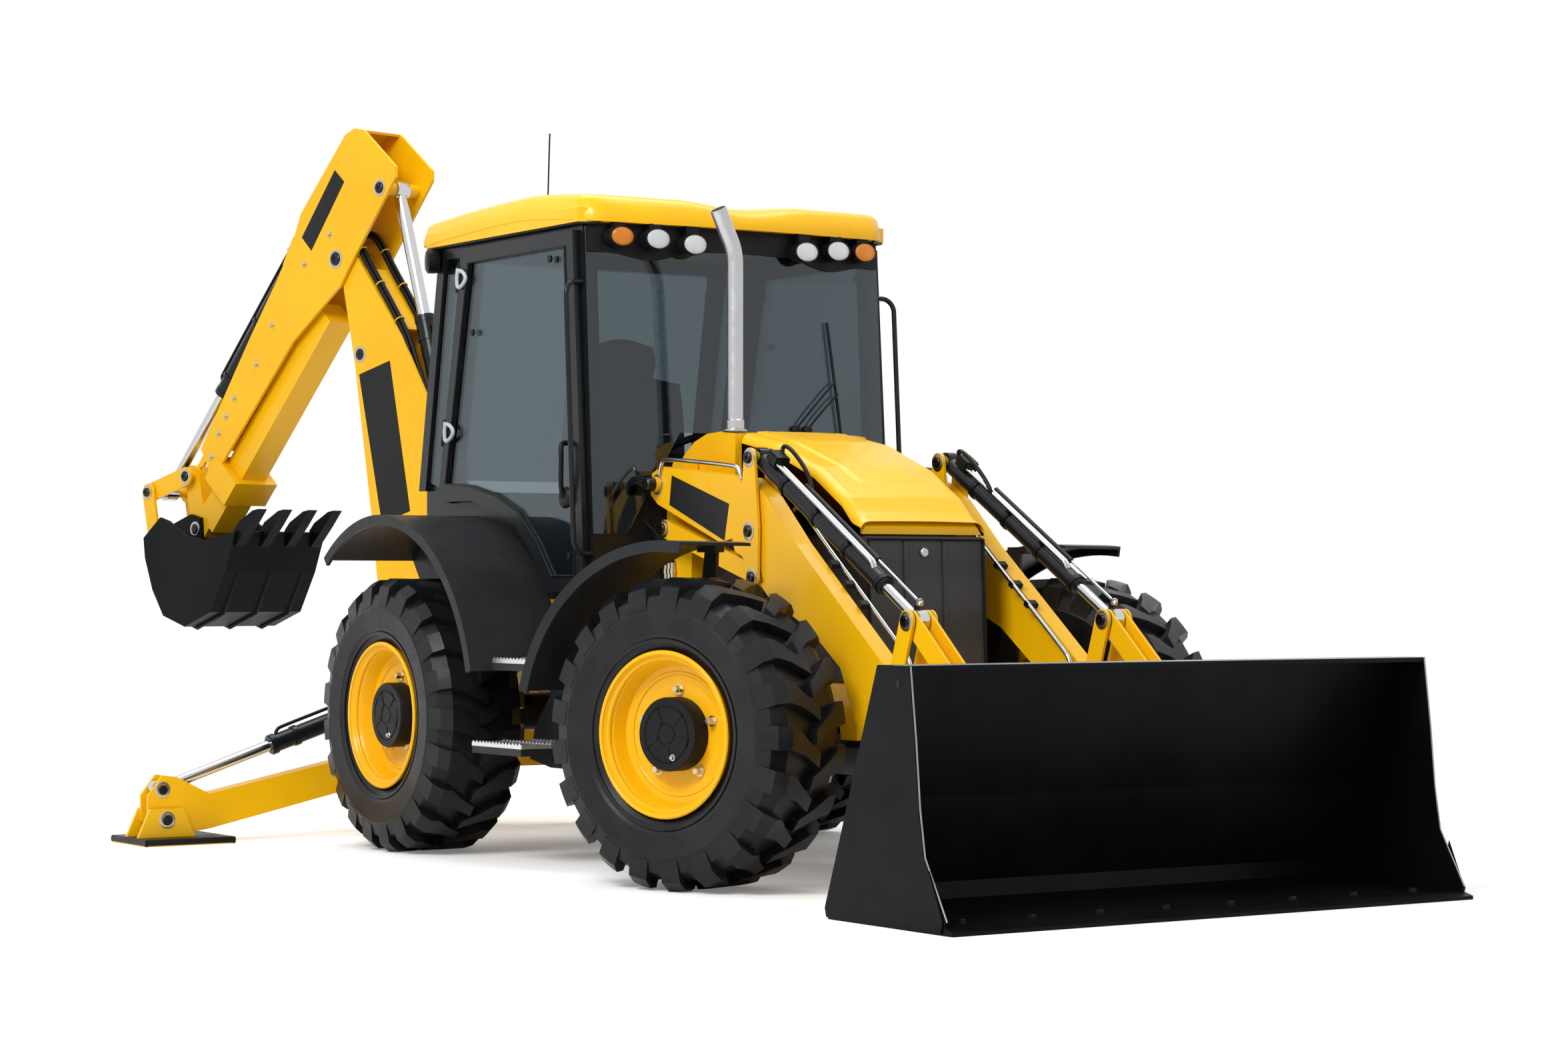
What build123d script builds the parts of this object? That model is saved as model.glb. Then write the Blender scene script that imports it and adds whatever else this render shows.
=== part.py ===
"""Backhoe loader: loader bucket in front, cab amidships, slewed digging arm behind.

Millimetres. +X is forward, +Y is the machine's left, +Z is up, the ground is Z = 0 and the origin
is under the middle of the whole machine. Side profiles are drawn on side planes whose first
coordinate is the distance ahead of the rear axle. Digging arm profiles are drawn on planes whose
first coordinate is the distance behind the slew post.
"""
import os
from math import atan2, cos, degrees, hypot, pi, radians, sin

from build123d import *

os.makedirs("parts", exist_ok=True)

# Driving dimensions
rear_axle_x = -192.0        # rear axle from the origin
wheelbase = 2215.0
wheel_r = 600.0             # tyre radius over the lugs, and height of both axles
tyre_w = 445.0
track_half = 972.0          # middle of each tyre from the centre plane
rim_r = 322.0               # rim flange radius
kingpin_y = 812.0
steer_rest = 18.2           # front wheels steered to the left as parked
hub_r = 138.0
pin_gap = 0.5               # radial clearance of a pin in its bore
seat = 0.4                  # gap where one piece sits on another
side_gap = 7.0              # sideways clearance between plates that swing past each other

arm_y = 470.0               # middle of each loader arm from the centre plane
arm_half = 38.0             # half the width of a loader arm
plate_t = 14.0              # lever, link and lug plates
lift_pin_r = 32.0
link_pin_r = 26.0

bucket_w = 2410.0
bucket_plate = 12.0

cab_half = 755.0            # outside of the cab's posts from the centre plane
cab_floor_z = 1110.0        # underside of the cab's floor
roof_z = 2700.0             # underside of the roof
glass_t = 6.0

slew_x = -1360.0            # slew post behind the rear axle
slew_rest = 14.0            # degrees that the digging arm is slewed to the right as parked
boom_half = 105.0
head_half = 130.0
dig_plate = 16.0
inner_half = 80.0
hoe_bucket_w = 600.0

front_axle_x = wheelbase
slew_c = cos(radians(slew_rest))
slew_s = sin(radians(slew_rest))
lever_in = arm_half + side_gap


def side(y):
    """Side plane at y: first coordinate ahead of the rear axle, second up, normal to the right."""
    return Plane(origin=(rear_axle_x, y, 0), x_dir=(1, 0, 0), z_dir=(0, -1, 0))


def hoe(n):
    """Digging arm plane, n to its left: first coordinate behind the slew post, second up."""
    start = (rear_axle_x + slew_x - n * slew_s, n * slew_c, 0)
    return Plane(origin=start, x_dir=(-slew_c, -slew_s, 0), z_dir=(-slew_s, slew_c, 0))


def level(z):
    """Level plane at height z, with the rear axle at its origin."""
    return Plane(origin=(rear_axle_x, 0, z), x_dir=(1, 0, 0), z_dir=(0, 0, 1))


def along(start, end):
    """Plane at start whose normal points to end, for round bars."""
    a, b = Vector(*start), Vector(*end)
    return Plane(origin=a, z_dir=(b - a).normalized()), (b - a).length


def side_point(x, y, z):
    return (rear_axle_x + x, y, z)


def hoe_point(r, n, z):
    return (rear_axle_x + slew_x - slew_c * r - slew_s * n, -slew_s * r + slew_c * n, z)


def save(name, part):
    part.label = name
    export_step(part, f"parts/{name}.step")


# Loader pivots, (ahead of the rear axle, height)
arm_pivot = (1236.0, 1593.0)
link_pivot = (1258.0, 1407.0)
knee = (1968.0, 1387.0)
lever_top = (1968.0, 1682.0)
lever_foot = (knee[0] + link_pivot[0] - arm_pivot[0], knee[1] + link_pivot[1] - arm_pivot[1])
tip_top = (3045.0, 1035.0)
tip_foot = (2952.0, 755.0)
bucket_pivot = (3480.0, 290.0)
bucket_lug = (bucket_pivot[0] + tip_top[0] - tip_foot[0], bucket_pivot[1] + tip_top[1] - tip_foot[1])
lift_base = (1250.0, 570.0)
lift_pin = (2090.0, 1220.0)
lift_y = 368.0              # middle of each lift ram from the centre plane

# Digging arm pivots, (behind the slew post, height)
boom_foot = (330.0, 700.0)
boom_ram_base = (200.0, 960.0)
boom_ram_pin = (711.0, 2339.0)
dipper_pivot = (873.0, 2832.0)
dipper_ram_base = (60.0, 1560.0)
dipper_ram_pin = (535.0, 3168.0)
tip_ram_base = (1260.0, 2966.0)
tip_lever_pivot = (2112.0, 1752.0)
tip_lever_end = (2412.0, 1672.0)
nose_pin = (2050.0, 1470.0)
tip_link_end = (nose_pin[0] + tip_lever_end[0] - tip_lever_pivot[0],
                nose_pin[1] + tip_lever_end[1] - tip_lever_pivot[1])
slide_dir = (0.669, -0.743)

# Stabiliser pivots, (outboard of the centre plane, height)
stab_x = -1002.0
stab_hinge = (380.0, 390.0)
stab_pad = (1780.0, 110.0)
stab_ram_top = (430.0, 700.0)
stab_ram_eye = (1790.0, 245.0)


def cross_plane(x, sign):
    """Plane across the machine at x: first coordinate outboard on that side, second up."""
    return Plane(origin=side_point(x, 0, 0), x_dir=(0, sign, 0), z_dir=(sign, 0, 0))


def bar_profile(a, b, r):
    """Round-ended bar from a to b in the current sketch."""
    mid = ((a[0] + b[0]) / 2, (a[1] + b[1]) / 2)
    turn = degrees(atan2(b[1] - a[1], b[0] - a[0]))
    with Locations(Location((mid[0], mid[1], 0), (0, 0, turn))):
        SlotCenterToCenter(hypot(b[0] - a[0], b[1] - a[1]), 2 * r)


def plate_pair(part_offset, thickness):
    """Inner and outer side plane offsets of a pair of plates about the right loader arm."""
    return ((-arm_y + part_offset + thickness, thickness), (-arm_y - part_offset, thickness))


def ram(plane_of, point_of, base, rod_eye, barrel_len, rod_start, barrel_r, rod_r, eye_r, eye_half,
        bore, y):
    """Barrel and rod of a ram along base to rod_eye in the plane plane_of(y)."""
    length = hypot(rod_eye[0] - base[0], rod_eye[1] - base[1])
    u = ((rod_eye[0] - base[0]) / length, (rod_eye[1] - base[1]) / length)
    on_line = lambda d: (base[0] + u[0] * d, base[1] + u[1] * d)
    tube_plane, tube_len = along(point_of(*on_line(eye_r * 0.8), y), point_of(*on_line(barrel_len), y))
    floor = 30
    with BuildPart() as barrel:
        with BuildSketch(tube_plane):
            Circle(barrel_r)
        extrude(amount=tube_len)
        with BuildSketch(plane_of(y)):
            with Locations(base):
                Circle(eye_r)
        extrude(amount=eye_half, both=True)
        with BuildSketch(tube_plane.offset(floor)):
            Circle(rod_r + 1)
        extrude(amount=tube_len, mode=Mode.SUBTRACT)
        with BuildSketch(plane_of(y)):
            with Locations(base):
                Circle(bore)
        extrude(amount=max(eye_half, barrel_r) + 1, both=True, mode=Mode.SUBTRACT)
    rod_plane, rod_len = along(point_of(*on_line(rod_start), y), point_of(*rod_eye, y))
    with BuildPart() as rod:
        with BuildSketch(rod_plane):
            Circle(rod_r)
        extrude(amount=rod_len)
        with BuildSketch(plane_of(y)):
            with Locations(rod_eye):
                Circle(eye_r)
        extrude(amount=eye_half, both=True)
    return barrel.part, rod.part


def mirrored(part):
    """A part and its mirror image on the other side, as one node."""
    return Compound(children=[part, mirror(part, about=Plane.XZ)])


def side_xyz(x, z, y):
    return side_point(x, y, z)


def hoe_xyz(r, z, n):
    return hoe_point(r, n, z)


# Tyres and wheels
def steered_centre(sign):
    """Centre of a steered front wheel, (ahead of the rear axle, y)."""
    a = radians(steer_rest)
    reach = track_half - kingpin_y
    return front_axle_x - sign * reach * sin(a), sign * (kingpin_y + reach * cos(a))


def wheel_plane(x, y, turn):
    """Upright plane at a wheel's centre, its x axis forward and its normal to the right."""
    a = radians(turn)
    return Plane(origin=side_point(x, y, wheel_r), x_dir=(cos(a), sin(a), 0), z_dir=(sin(a), -cos(a), 0))


wheels = []
for sign, side_name in ((-1, "right"), (1, "left")):
    fx, fy = steered_centre(sign)
    wheels.append((f"front_{side_name}", sign, fx, fy, steer_rest))
    wheels.append((f"rear_{side_name}", sign, 0.0, sign * track_half, 0.0))

rim_half = 200.0    # rim flanges from the wheel's middle
dish = 90.0         # wheel disc outboard of the wheel's middle
hub_face = 166.0    # hub cover's face outboard of the wheel's middle

tread_r = 562.0     # tyre radius between its lugs
lug_foot = 480.0    # radius at which a lug grows out of the tyre's shoulder
lug_count = 21      # lugs on each half of the tread
# Lug outline: (across the tyre from its middle, round it the way it rolls)
lug_outline = ((240, -52), (240, 40), (150, 46), (80, 66), (-14, 116), (-14, 62), (60, 14), (120, -36))

half = tyre_w / 2
flank = ((wheel_r - 130, half), (rim_r + 60, half - 8), (rim_r + 12, half - 34), (rim_r - 20.5, half - 60),
         (rim_r - 20.5, -half + 60), (rim_r + 12, -half + 34), (rim_r + 60, -half + 8),
         (wheel_r - 130, -half))
with BuildPart() as tyre:
    with BuildSketch(Plane.XY):
        with BuildLine():
            Polyline(*flank, (wheel_r - 70, -half + 20), (tread_r, -half + 80), (tread_r, half - 80),
                     (wheel_r - 70, half - 20), close=True)
        make_face()
    revolve(axis=Axis.Y)
    for edge in (-1, 1):
        for i in range(lug_count):
            a = 2 * pi * (i + (edge + 1) / 4) / lug_count
            radial = Vector(cos(a), 0, sin(a))
            with BuildSketch(Plane(origin=radial * lug_foot, x_dir=(0, edge, 0), z_dir=radial)):
                with BuildLine():
                    Polyline(*((w, -edge * u) for w, u in lug_outline), close=True)
                make_face()
            extrude(amount=wheel_r + 10 - lug_foot)
    with BuildSketch(Plane.XY):
        with BuildLine():
            Polyline(*flank, (wheel_r - 35, -half + 18), (wheel_r, -half + 60), (wheel_r, half - 60),
                     (wheel_r - 35, half - 18), close=True)
        make_face()
    revolve(axis=Axis.Y, mode=Mode.INTERSECT)

for name, sign, x, y, turn in wheels:
    save(f"tyre_{name}", tyre.part.moved(Location(side_point(x, y, wheel_r), (0, 0, turn))))
    base = wheel_plane(x, y, turn)
    outward = base.z_dir * -sign
    profile_plane = Plane(origin=base.origin, x_dir=base.x_dir, z_dir=base.x_dir.cross(outward))
    spin = Axis(base.origin, outward)
    with BuildPart() as rim:
        with BuildSketch(profile_plane):
            with BuildLine():
                Polyline((0, dish - 8), (hub_r + 60, dish - 8), (rim_r - 60, dish - 50),
                         (rim_r - 40, -rim_half), (rim_r, -rim_half), (rim_r - 21, -half + 56),
                         (rim_r - 21, half - 56), (rim_r, rim_half), (rim_r - 16, rim_half),
                         (rim_r - 42, half - 62), (rim_r - 60, dish + 20), (hub_r + 60, dish + 8),
                         (hub_r, dish + 8), (hub_r, hub_face - 8), (hub_r - 8, hub_face),
                         (0, hub_face), close=True)
            make_face()
        revolve(axis=spin)
    save(f"rim_{name}", rim.part)

# Axles
rear_end = track_half + dish - 8 - seat     # rear axle ends just inside the wheel disc
with BuildPart() as axles:
    for x, end in ((0.0, rear_end), (front_axle_x, kingpin_y - 140)):
        with BuildSketch(Plane(origin=side_point(x, 0, wheel_r), x_dir=(1, 0, 0), z_dir=(0, 1, 0))):
            Circle(85)
        extrude(amount=end, both=True)
        with BuildSketch(level(wheel_r - 190)):
            with Locations((x, 0)):
                RectangleRounded(330, 380, 60)
        extrude(amount=330)
    for sign in (-1, 1):
        with BuildSketch(Plane(origin=side_point(front_axle_x, sign * (kingpin_y - 172), wheel_r),
                               x_dir=(1, 0, 0), z_dir=(0, sign, 0))):
            RectangleRounded(150, 330, 30)
        extrude(amount=45)
        for z in (wheel_r - 165, wheel_r + 126):
            with BuildSketch(level(z)):
                with Locations((front_axle_x, sign * (kingpin_y - 50))):
                    RectangleRounded(120, 220, 40)
            extrude(amount=39)

# Steering knuckles with the front wings
wing_r = 741.0
wing_t = 12.0
wing_lip = 44.0             # depth of the lip along a wing's outer edge
wing_start = 82.0
wing_sweep = 86.0
wing_in = 208.0             # inboard edge of the wing from the wheel's middle
for sign, side_name in ((-1, "right"), (1, "left")):
    out = -sign
    wx, wy = steered_centre(sign)
    wheel_base = wheel_plane(wx, wy, steer_rest)
    king = wheel_plane(front_axle_x, sign * kingpin_y, steer_rest)
    king_top = Plane(origin=king.origin, x_dir=king.x_dir, z_dir=(0, 0, 1))
    with BuildPart() as knuckle:
        with BuildSketch(king_top.offset(-126 + seat)):
            Circle(58)
        extrude(amount=252 - 2 * seat)
        with BuildSketch(king):
            Circle(80)
        extrude(amount=out * (track_half - kingpin_y + dish - 8 - seat))
        wing_plane = wheel_base.offset(-out * wing_in)
        with BuildSketch(wing_plane):
            with BuildLine():
                first = radians(wing_start)
                last = radians(wing_start + wing_sweep)
                CenterArc((0, 0), wing_r, wing_start, wing_sweep)
                CenterArc((0, 0), wing_r - wing_t, wing_start, wing_sweep)
                Line((wing_r * cos(first), wing_r * sin(first)),
                     ((wing_r - wing_t) * cos(first), (wing_r - wing_t) * sin(first)))
                Line((wing_r * cos(last), wing_r * sin(last)),
                     ((wing_r - wing_t) * cos(last), (wing_r - wing_t) * sin(last)))
            make_face()
        extrude(amount=out * (wing_in + tyre_w / 2))
        with BuildSketch(wheel_base.offset(out * (tyre_w / 2 - wing_t))):
            with BuildLine():
                CenterArc((0, 0), wing_r - 1, wing_start, wing_sweep)
                CenterArc((0, 0), wing_r - wing_lip, wing_start, wing_sweep)
                Line(((wing_r - 1) * cos(first), (wing_r - 1) * sin(first)),
                     ((wing_r - wing_lip) * cos(first), (wing_r - wing_lip) * sin(first)))
                Line(((wing_r - 1) * cos(last), (wing_r - 1) * sin(last)),
                     ((wing_r - wing_lip) * cos(last), (wing_r - wing_lip) * sin(last)))
            make_face()
        extrude(amount=out * wing_t)
        with BuildSketch(wheel_base.offset(-out * (tyre_w / 2 + 28))):
            with BuildLine():
                Polyline((-110, -50), (-190, -50), (-200, 300), (-150, wing_r - 34),
                         (-90, wing_r - 20), (-110, 300), close=True)
            make_face()
        extrude(amount=out * 18)
        with BuildSketch(wheel_base.offset(-out * (tyre_w / 2 + 28))):
            with Locations((-110, wing_r - 27)):
                Rectangle(90, 30)
        extrude(amount=out * 60)
        with BuildSketch(wheel_base.offset(-out * (tyre_w / 2 + 28))):
            with Locations((-130, 0)):
                Rectangle(120, 100)
        extrude(amount=out * 110)
        with BuildSketch(wheel_base.offset(-out * (tyre_w / 2 - 20))):
            with Locations((-80, 0)):
                Rectangle(100, 100)
        extrude(amount=out * 62)
    save(f"knuckle_{side_name}", knuckle.part)

# Main frame: rails, loader towers, rear frame and cowl behind the bonnet
hood_hinge = (1566.0, 1800.0)   # bonnet hinge, ahead of the rear axle and up
hood_hinge_y = 180.0
rail_in = 250.0
rail_t = 80.0
tower_in = 335.0
tower_out = 400.0
post_top = 1180.0           # top of the frame's upper slew lug
post_bottom = 400.0         # underside of the frame's lower slew lug
lug_t = 60.0
with BuildPart() as main_frame:
    with BuildSketch(side(-rail_in)):
        with BuildLine():
            Polyline((-1130, 520), (-1130, 800), (-500, 800), (-200, 850), (1100, 850), (1500, 780),
                     (2440, 780), (2440, 560), (2330, 560), (2310, 685.5), (2120, 685.5), (2100, 540),
                     (1300, 500), (300, 470), (95, 600), (95, 685.5), (-95, 685.5), (-95, 600),
                     (-500, 520), close=True)
        make_face()
    extrude(amount=rail_t)
    with BuildSketch(side(-tower_in)):
        with BuildLine():
            Polyline((1010, 640), (1010, 850), (1135, 1050), (1135, 1600), (1185, 1690), (1275, 1690),
                     (1340, 1440), (1320, 1000), (1210, 700), (1185, 640), close=True)
        make_face()
    extrude(amount=tower_out - tower_in)
    with BuildSketch(side(-rail_in - rail_t + 5)):
        with BuildLine():
            Polyline((1010, 640), (1010, 850), (1200, 850), (1200, 700), (1180, 640), close=True)
        make_face()
    extrude(amount=tower_in - rail_in - rail_t + 6)
    with BuildSketch(side(-rail_in - rail_t + 5)):
        with Locations(lift_base):
            Circle(30)
    extrude(amount=lift_y + 40 - rail_in - rail_t)
    for centre, r, reach in ((arm_pivot, 32, arm_y + 62), (link_pivot, 26, arm_y + 30)):
        with BuildSketch(side(-tower_out + 1)):
            with Locations(centre):
                Circle(r)
        extrude(amount=reach - tower_out)
    mirror(about=Plane.XZ)
    for x in (-260, 890):
        for y in (-290, 290):
            with BuildSketch(level(840)):
                with Locations((x, y)):
                    Rectangle(80, 70)
            extrude(amount=cab_floor_z - seat - 840)
    for x0, z0, w, h in ((-1130, 520, 70, 280), (-150, 740.5, 300, 100), (1010, 560, 180, 280),
                         (2065, 740.5, 300, 38), (2385, 570, 55, 200)):
        with BuildSketch(side(0)):
            with Locations((x0 + w / 2, z0 + h / 2)):
                Rectangle(w, h)
        extrude(amount=rail_in + 2, both=True)
    with BuildSketch(side(0)):
        with BuildLine():
            Polyline((1150, 1080), (1150, 1715), (1240, 1775), (1340, 1806), (1450, 1812),
                     (1560, 1800), (1560, 1400), (1345, 1400), (1345, 1080), close=True)
        make_face()
    extrude(amount=330, both=True)
    for sign in (-1, 1):
        with BuildSketch(side(sign * hood_hinge_y + 10)):
            with BuildLine():
                Polyline((1520, 1780), (1520, 1802), (1556, 1812), (1576, 1812), (1576, 1790),
                         (1558, 1780), close=True)
            make_face()
        extrude(amount=20)
        with BuildSketch(side(sign * hood_hinge_y + 11)):
            with Locations(hood_hinge):
                Circle(6 + pin_gap)
        extrude(amount=22, mode=Mode.SUBTRACT)
    with BuildSketch(side(0)):
        with Locations((1240, 960)):
            Rectangle(180, 260)
    extrude(amount=300, both=True)
    for z in (post_bottom, post_top - lug_t):
        with BuildSketch(level(z)):
            with BuildLine():
                Polyline((-1120, 150), (-1120, -150), (slew_x, -110), (slew_x, 110), close=True)
            make_face()
            with Locations((slew_x, 0)):
                Circle(140)
        extrude(amount=lug_t)
    with BuildSketch(level(300)):
        with Locations((-1095, 0)):
            Rectangle(70, 860)
    extrude(amount=post_top - 300)
    for x in (stab_x - 64, stab_x + 64):
        with BuildSketch(cross_plane(x, 1)):
            with BuildLine():
                Polyline((-470, 300), (-470, 480), (-500, 640), (-500, 780), (-380, 800), (380, 800),
                         (500, 780), (500, 640), (470, 480), (470, 300), close=True)
            make_face()
        extrude(amount=12, both=True)
    with BuildSketch(level(300)):
        with Locations((slew_x, 0)):
            Circle(60 + pin_gap)
    extrude(amount=1000, mode=Mode.SUBTRACT)
    for sign in (-1, 1):
        for centre in (stab_hinge, stab_ram_top):
            with BuildSketch(cross_plane(stab_x - 66, sign)):
                with Locations(centre):
                    Circle(28)
            extrude(amount=sign * 132)
save("main_frame", main_frame.part)
print("main frame solids", len(main_frame.part.solids()))

with BuildPart() as engine:
    with BuildSketch(level(785)):
        with Locations((1860, 0)):
            Rectangle(960, 460)
    extrude(amount=600)
save("drive_line", Compound(children=[axles.part, engine.part]))

# Bonnet, grille and exhaust
hood_half = 300.0
with BuildPart() as bonnet:
    with BuildSketch(side(0)):
        with BuildLine():
            Polyline((1566, 1400), (1566, 1798), (1800, 1752), (2100, 1640), (2300, 1520), (2420, 1400),
                     (2420, 1372), close=True)
        make_face()
    extrude(amount=hood_half, both=True)
    top_edges = [e for e in bonnet.edges() if abs(abs(e.center().Y) - hood_half) < 1
                 and e.center().Z > 1440 and e.center().X > rear_axle_x + 1600]
    chamfer(top_edges, length=24)
    with BuildSketch(side(0)):
        with BuildLine():
            Polyline((1560, 1390), (1560, 1778), (1796, 1732), (2090, 1622), (2282, 1508), (2396, 1395),
                     (2396, 1360), close=True)
        make_face()
    extrude(amount=hood_half - 20, both=True, mode=Mode.SUBTRACT)
    for sign in (-1, 1):
        with BuildSketch(side(sign * hood_hinge_y + 14)):
            with Locations(hood_hinge):
                Rectangle(48, 60)
        extrude(amount=28, mode=Mode.SUBTRACT)
        with BuildSketch(side(sign * hood_hinge_y + 26)):
            with Locations(hood_hinge):
                Circle(6)
        extrude(amount=52)
save("bonnet", bonnet.part)

with BuildPart() as grille:
    with BuildSketch(side(0)):
        with BuildLine():
            Polyline((2445, 570), (2475, 570), (2445, 1360), (2405, 1366), (2405, 785), (2445, 785),
                     close=True)
        make_face()
    extrude(amount=285, both=True)
    for sign in (-1, 1):
        with BuildSketch(side(sign * 279)):
            with BuildLine():
                Polyline((2410, 785), (2410, 1364), (1350, 1392), (1350, 860), (1500, 785), close=True)
            make_face()
        extrude(amount=4, both=True)
    for y in (-95, 95):
        with BuildSketch(side(y - 5)):
            with BuildLine():
                Polyline((2474, 600), (2482, 600), (2453, 1345), (2445, 1345), close=True)
            make_face()
        extrude(amount=10)
save("front_grille", grille.part)

stack = (1495.0, -290.0)
with BuildPart() as exhaust:
    with BuildLine() as stack_path:
        s0 = side_point(stack[0], stack[1], 1811.3)
        s1 = side_point(stack[0], stack[1], 2560)
        s2 = side_point(stack[0] + 10, stack[1] - 90, 2735)
        FilletPolyline(s0, s1, s2, radius=200)
    with BuildSketch(Plane(origin=s0, z_dir=(0, 0, 1))):
        Circle(35)
        Circle(31, mode=Mode.SUBTRACT)
    sweep()
save("exhaust_stack", exhaust.part)

# Loader arms
with BuildPart() as arms:
    with BuildSketch(side(-arm_y)):
        with BuildLine():
            Polyline((1190, 1640), (1263, 1668), (1921, 1602), (2067, 1523), (2275, 1334), (2857, 878),
                     (3100, 687), (3505, 345), (3540, 290), (3510, 240), (3450, 215), (3380, 225),
                     (2800, 480), (2683, 647), (2581, 851), (2372, 998), (2087, 1116), (1880, 1290),
                     (1236, 1510), (1180, 1550), close=True)
        make_face()
        with Locations(arm_pivot):
            Circle(32 + pin_gap, mode=Mode.SUBTRACT)
        with Locations(bucket_pivot):
            Circle(30 + pin_gap, mode=Mode.SUBTRACT)
    extrude(amount=arm_half, both=True)
    with BuildSketch(side(-arm_y)):
        with BuildLine():
            Polyline((2075, 1060), (2075, 1440), (1921, 1555), (1300, 1620), (1150, 1570), (1150, 1300),
                     (1500, 1040), close=True)
        make_face()
    extrude(amount=26, both=True, mode=Mode.SUBTRACT)
    with BuildSketch(side(-arm_y)):
        with BuildLine():
            CenterArc(knee, 218, -170, 100)
            CenterArc(knee, 156, -170, 100)
            Line((knee[0] + 218 * cos(radians(-170)), knee[1] + 218 * sin(radians(-170))),
                 (knee[0] + 156 * cos(radians(-170)), knee[1] + 156 * sin(radians(-170))))
            Line((knee[0] + 218 * cos(radians(-70)), knee[1] + 218 * sin(radians(-70))),
                 (knee[0] + 156 * cos(radians(-70)), knee[1] + 156 * sin(radians(-70))))
        make_face()
    extrude(amount=arm_half, both=True, mode=Mode.SUBTRACT)
    for centre in (knee, tip_foot):
        with BuildSketch(side(-arm_y)):
            with Locations(centre):
                Circle(link_pin_r)
        extrude(amount=62, both=True)
    with BuildSketch(side(-lift_y - 24.5)):
        with Locations(lift_pin):
            Circle(34)
    extrude(amount=arm_y - lift_y - 24.5)
    mirror(about=Plane.XZ)
    with BuildSketch(side(0)):
        with Locations((2900, 570)):
            Circle(80)
    extrude(amount=arm_y - arm_half + 2, both=True)
save("loader_arms", arms.part)
print("loader arm solids", len(arms.part.solids()))

# Bell-crank levers and level links that keep the bucket level
with BuildPart() as levers:
    for y, t in plate_pair(47, 12):
        with BuildSketch(side(y)):
            with BuildLine():
                Polyline((1930, 1690), (2006, 1690), (2036, 1400), (2030, 1190), (1950, 1190),
                         (1900, 1400), close=True)
            make_face()
            with Locations(lever_top):
                Circle(40)
            with Locations(lever_foot):
                Circle(42)
            with Locations(knee):
                Circle(link_pin_r + pin_gap, mode=Mode.SUBTRACT)
        extrude(amount=t)
    with BuildSketch(side(-arm_y)):
        with Locations(lever_foot, lever_top):
            Circle(link_pin_r)
    extrude(amount=62, both=True)
    mirror(about=Plane.XZ)
save("loader_levers", levers.part)
print("lever solids", len(levers.part.solids()))

with BuildPart() as level_links:
    with BuildSketch(side(-arm_y)):
        bar_profile(link_pivot, lever_foot, 38)
        with Locations(link_pivot, lever_foot):
            Circle(link_pin_r + pin_gap, mode=Mode.SUBTRACT)
    extrude(amount=20, both=True)
    mirror(about=Plane.XZ)
save("level_links", level_links.part)

with BuildPart() as crowd_pins:
    for y, t in plate_pair(40, 6):
        with BuildSketch(side(y)):
            with Locations(lever_top):
                Circle(link_pin_r + 12)
                Circle(link_pin_r + pin_gap, mode=Mode.SUBTRACT)
        extrude(amount=t)
    mirror(about=Plane.XZ)
save("crowd_pins", crowd_pins.part)

crowd = ram(side, side_xyz, lever_top, tip_top, 1005, 270, 36, 21, 42, 22, link_pin_r + pin_gap,
            -arm_y)
lift = ram(side, side_xyz, lift_base, lift_pin, 960, 110, 30, 20, 44, 24, 30 + pin_gap, -lift_y)
for name, part in (("crowd_barrels", crowd[0]), ("crowd_rods", crowd[1]),
                   ("lift_barrels", lift[0]), ("lift_rods", lift[1])):
    save(name, mirrored(part))

# Tip levers with their pins, tip links and the loader bucket
with BuildPart() as tip_pins:
    for y, t in plate_pair(40, 6):
        with BuildSketch(side(y)):
            with Locations(tip_foot):
                Circle(46)
                Circle(link_pin_r + pin_gap, mode=Mode.SUBTRACT)
        extrude(amount=t)
    mirror(about=Plane.XZ)
save("tip_pins", tip_pins.part)

with BuildPart() as tip_levers:
    for y, t in plate_pair(47, 12):
        with BuildSketch(side(y)):
            bar_profile(tip_top, tip_foot, 42)
            with Locations(tip_foot):
                Circle(link_pin_r + pin_gap, mode=Mode.SUBTRACT)
        extrude(amount=t)
    for y, t in plate_pair(23, 39):
        with BuildSketch(side(y)):
            with Locations(tip_top):
                Circle(link_pin_r)
        extrude(amount=t)
    mirror(about=Plane.XZ)
save("tip_levers", tip_levers.part)

with BuildPart() as link_pins:
    for y, t in plate_pair(42, 4):
        with BuildSketch(side(y)):
            with Locations(tip_top):
                Circle(link_pin_r + 16)
                Circle(link_pin_r + pin_gap, mode=Mode.SUBTRACT)
        extrude(amount=t)
    mirror(about=Plane.XZ)
save("link_pins", link_pins.part)

with BuildPart() as tip_links:
    for y, t in plate_pair(29, 12):
        with BuildSketch(side(y)):
            bar_profile(tip_top, bucket_lug, 42)
            with Locations(tip_top, bucket_lug):
                Circle(link_pin_r + pin_gap, mode=Mode.SUBTRACT)
        extrude(amount=t)
    mirror(about=Plane.XZ)
save("tip_links", tip_links.part)

with BuildPart() as bucket_pins:
    for y, t in plate_pair(40, 6):
        with BuildSketch(side(y)):
            with Locations(bucket_pivot):
                Circle(48)
                Circle(30 + pin_gap, mode=Mode.SUBTRACT)
        extrude(amount=t)
    mirror(about=Plane.XZ)
save("bucket_pins", bucket_pins.part)

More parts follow.
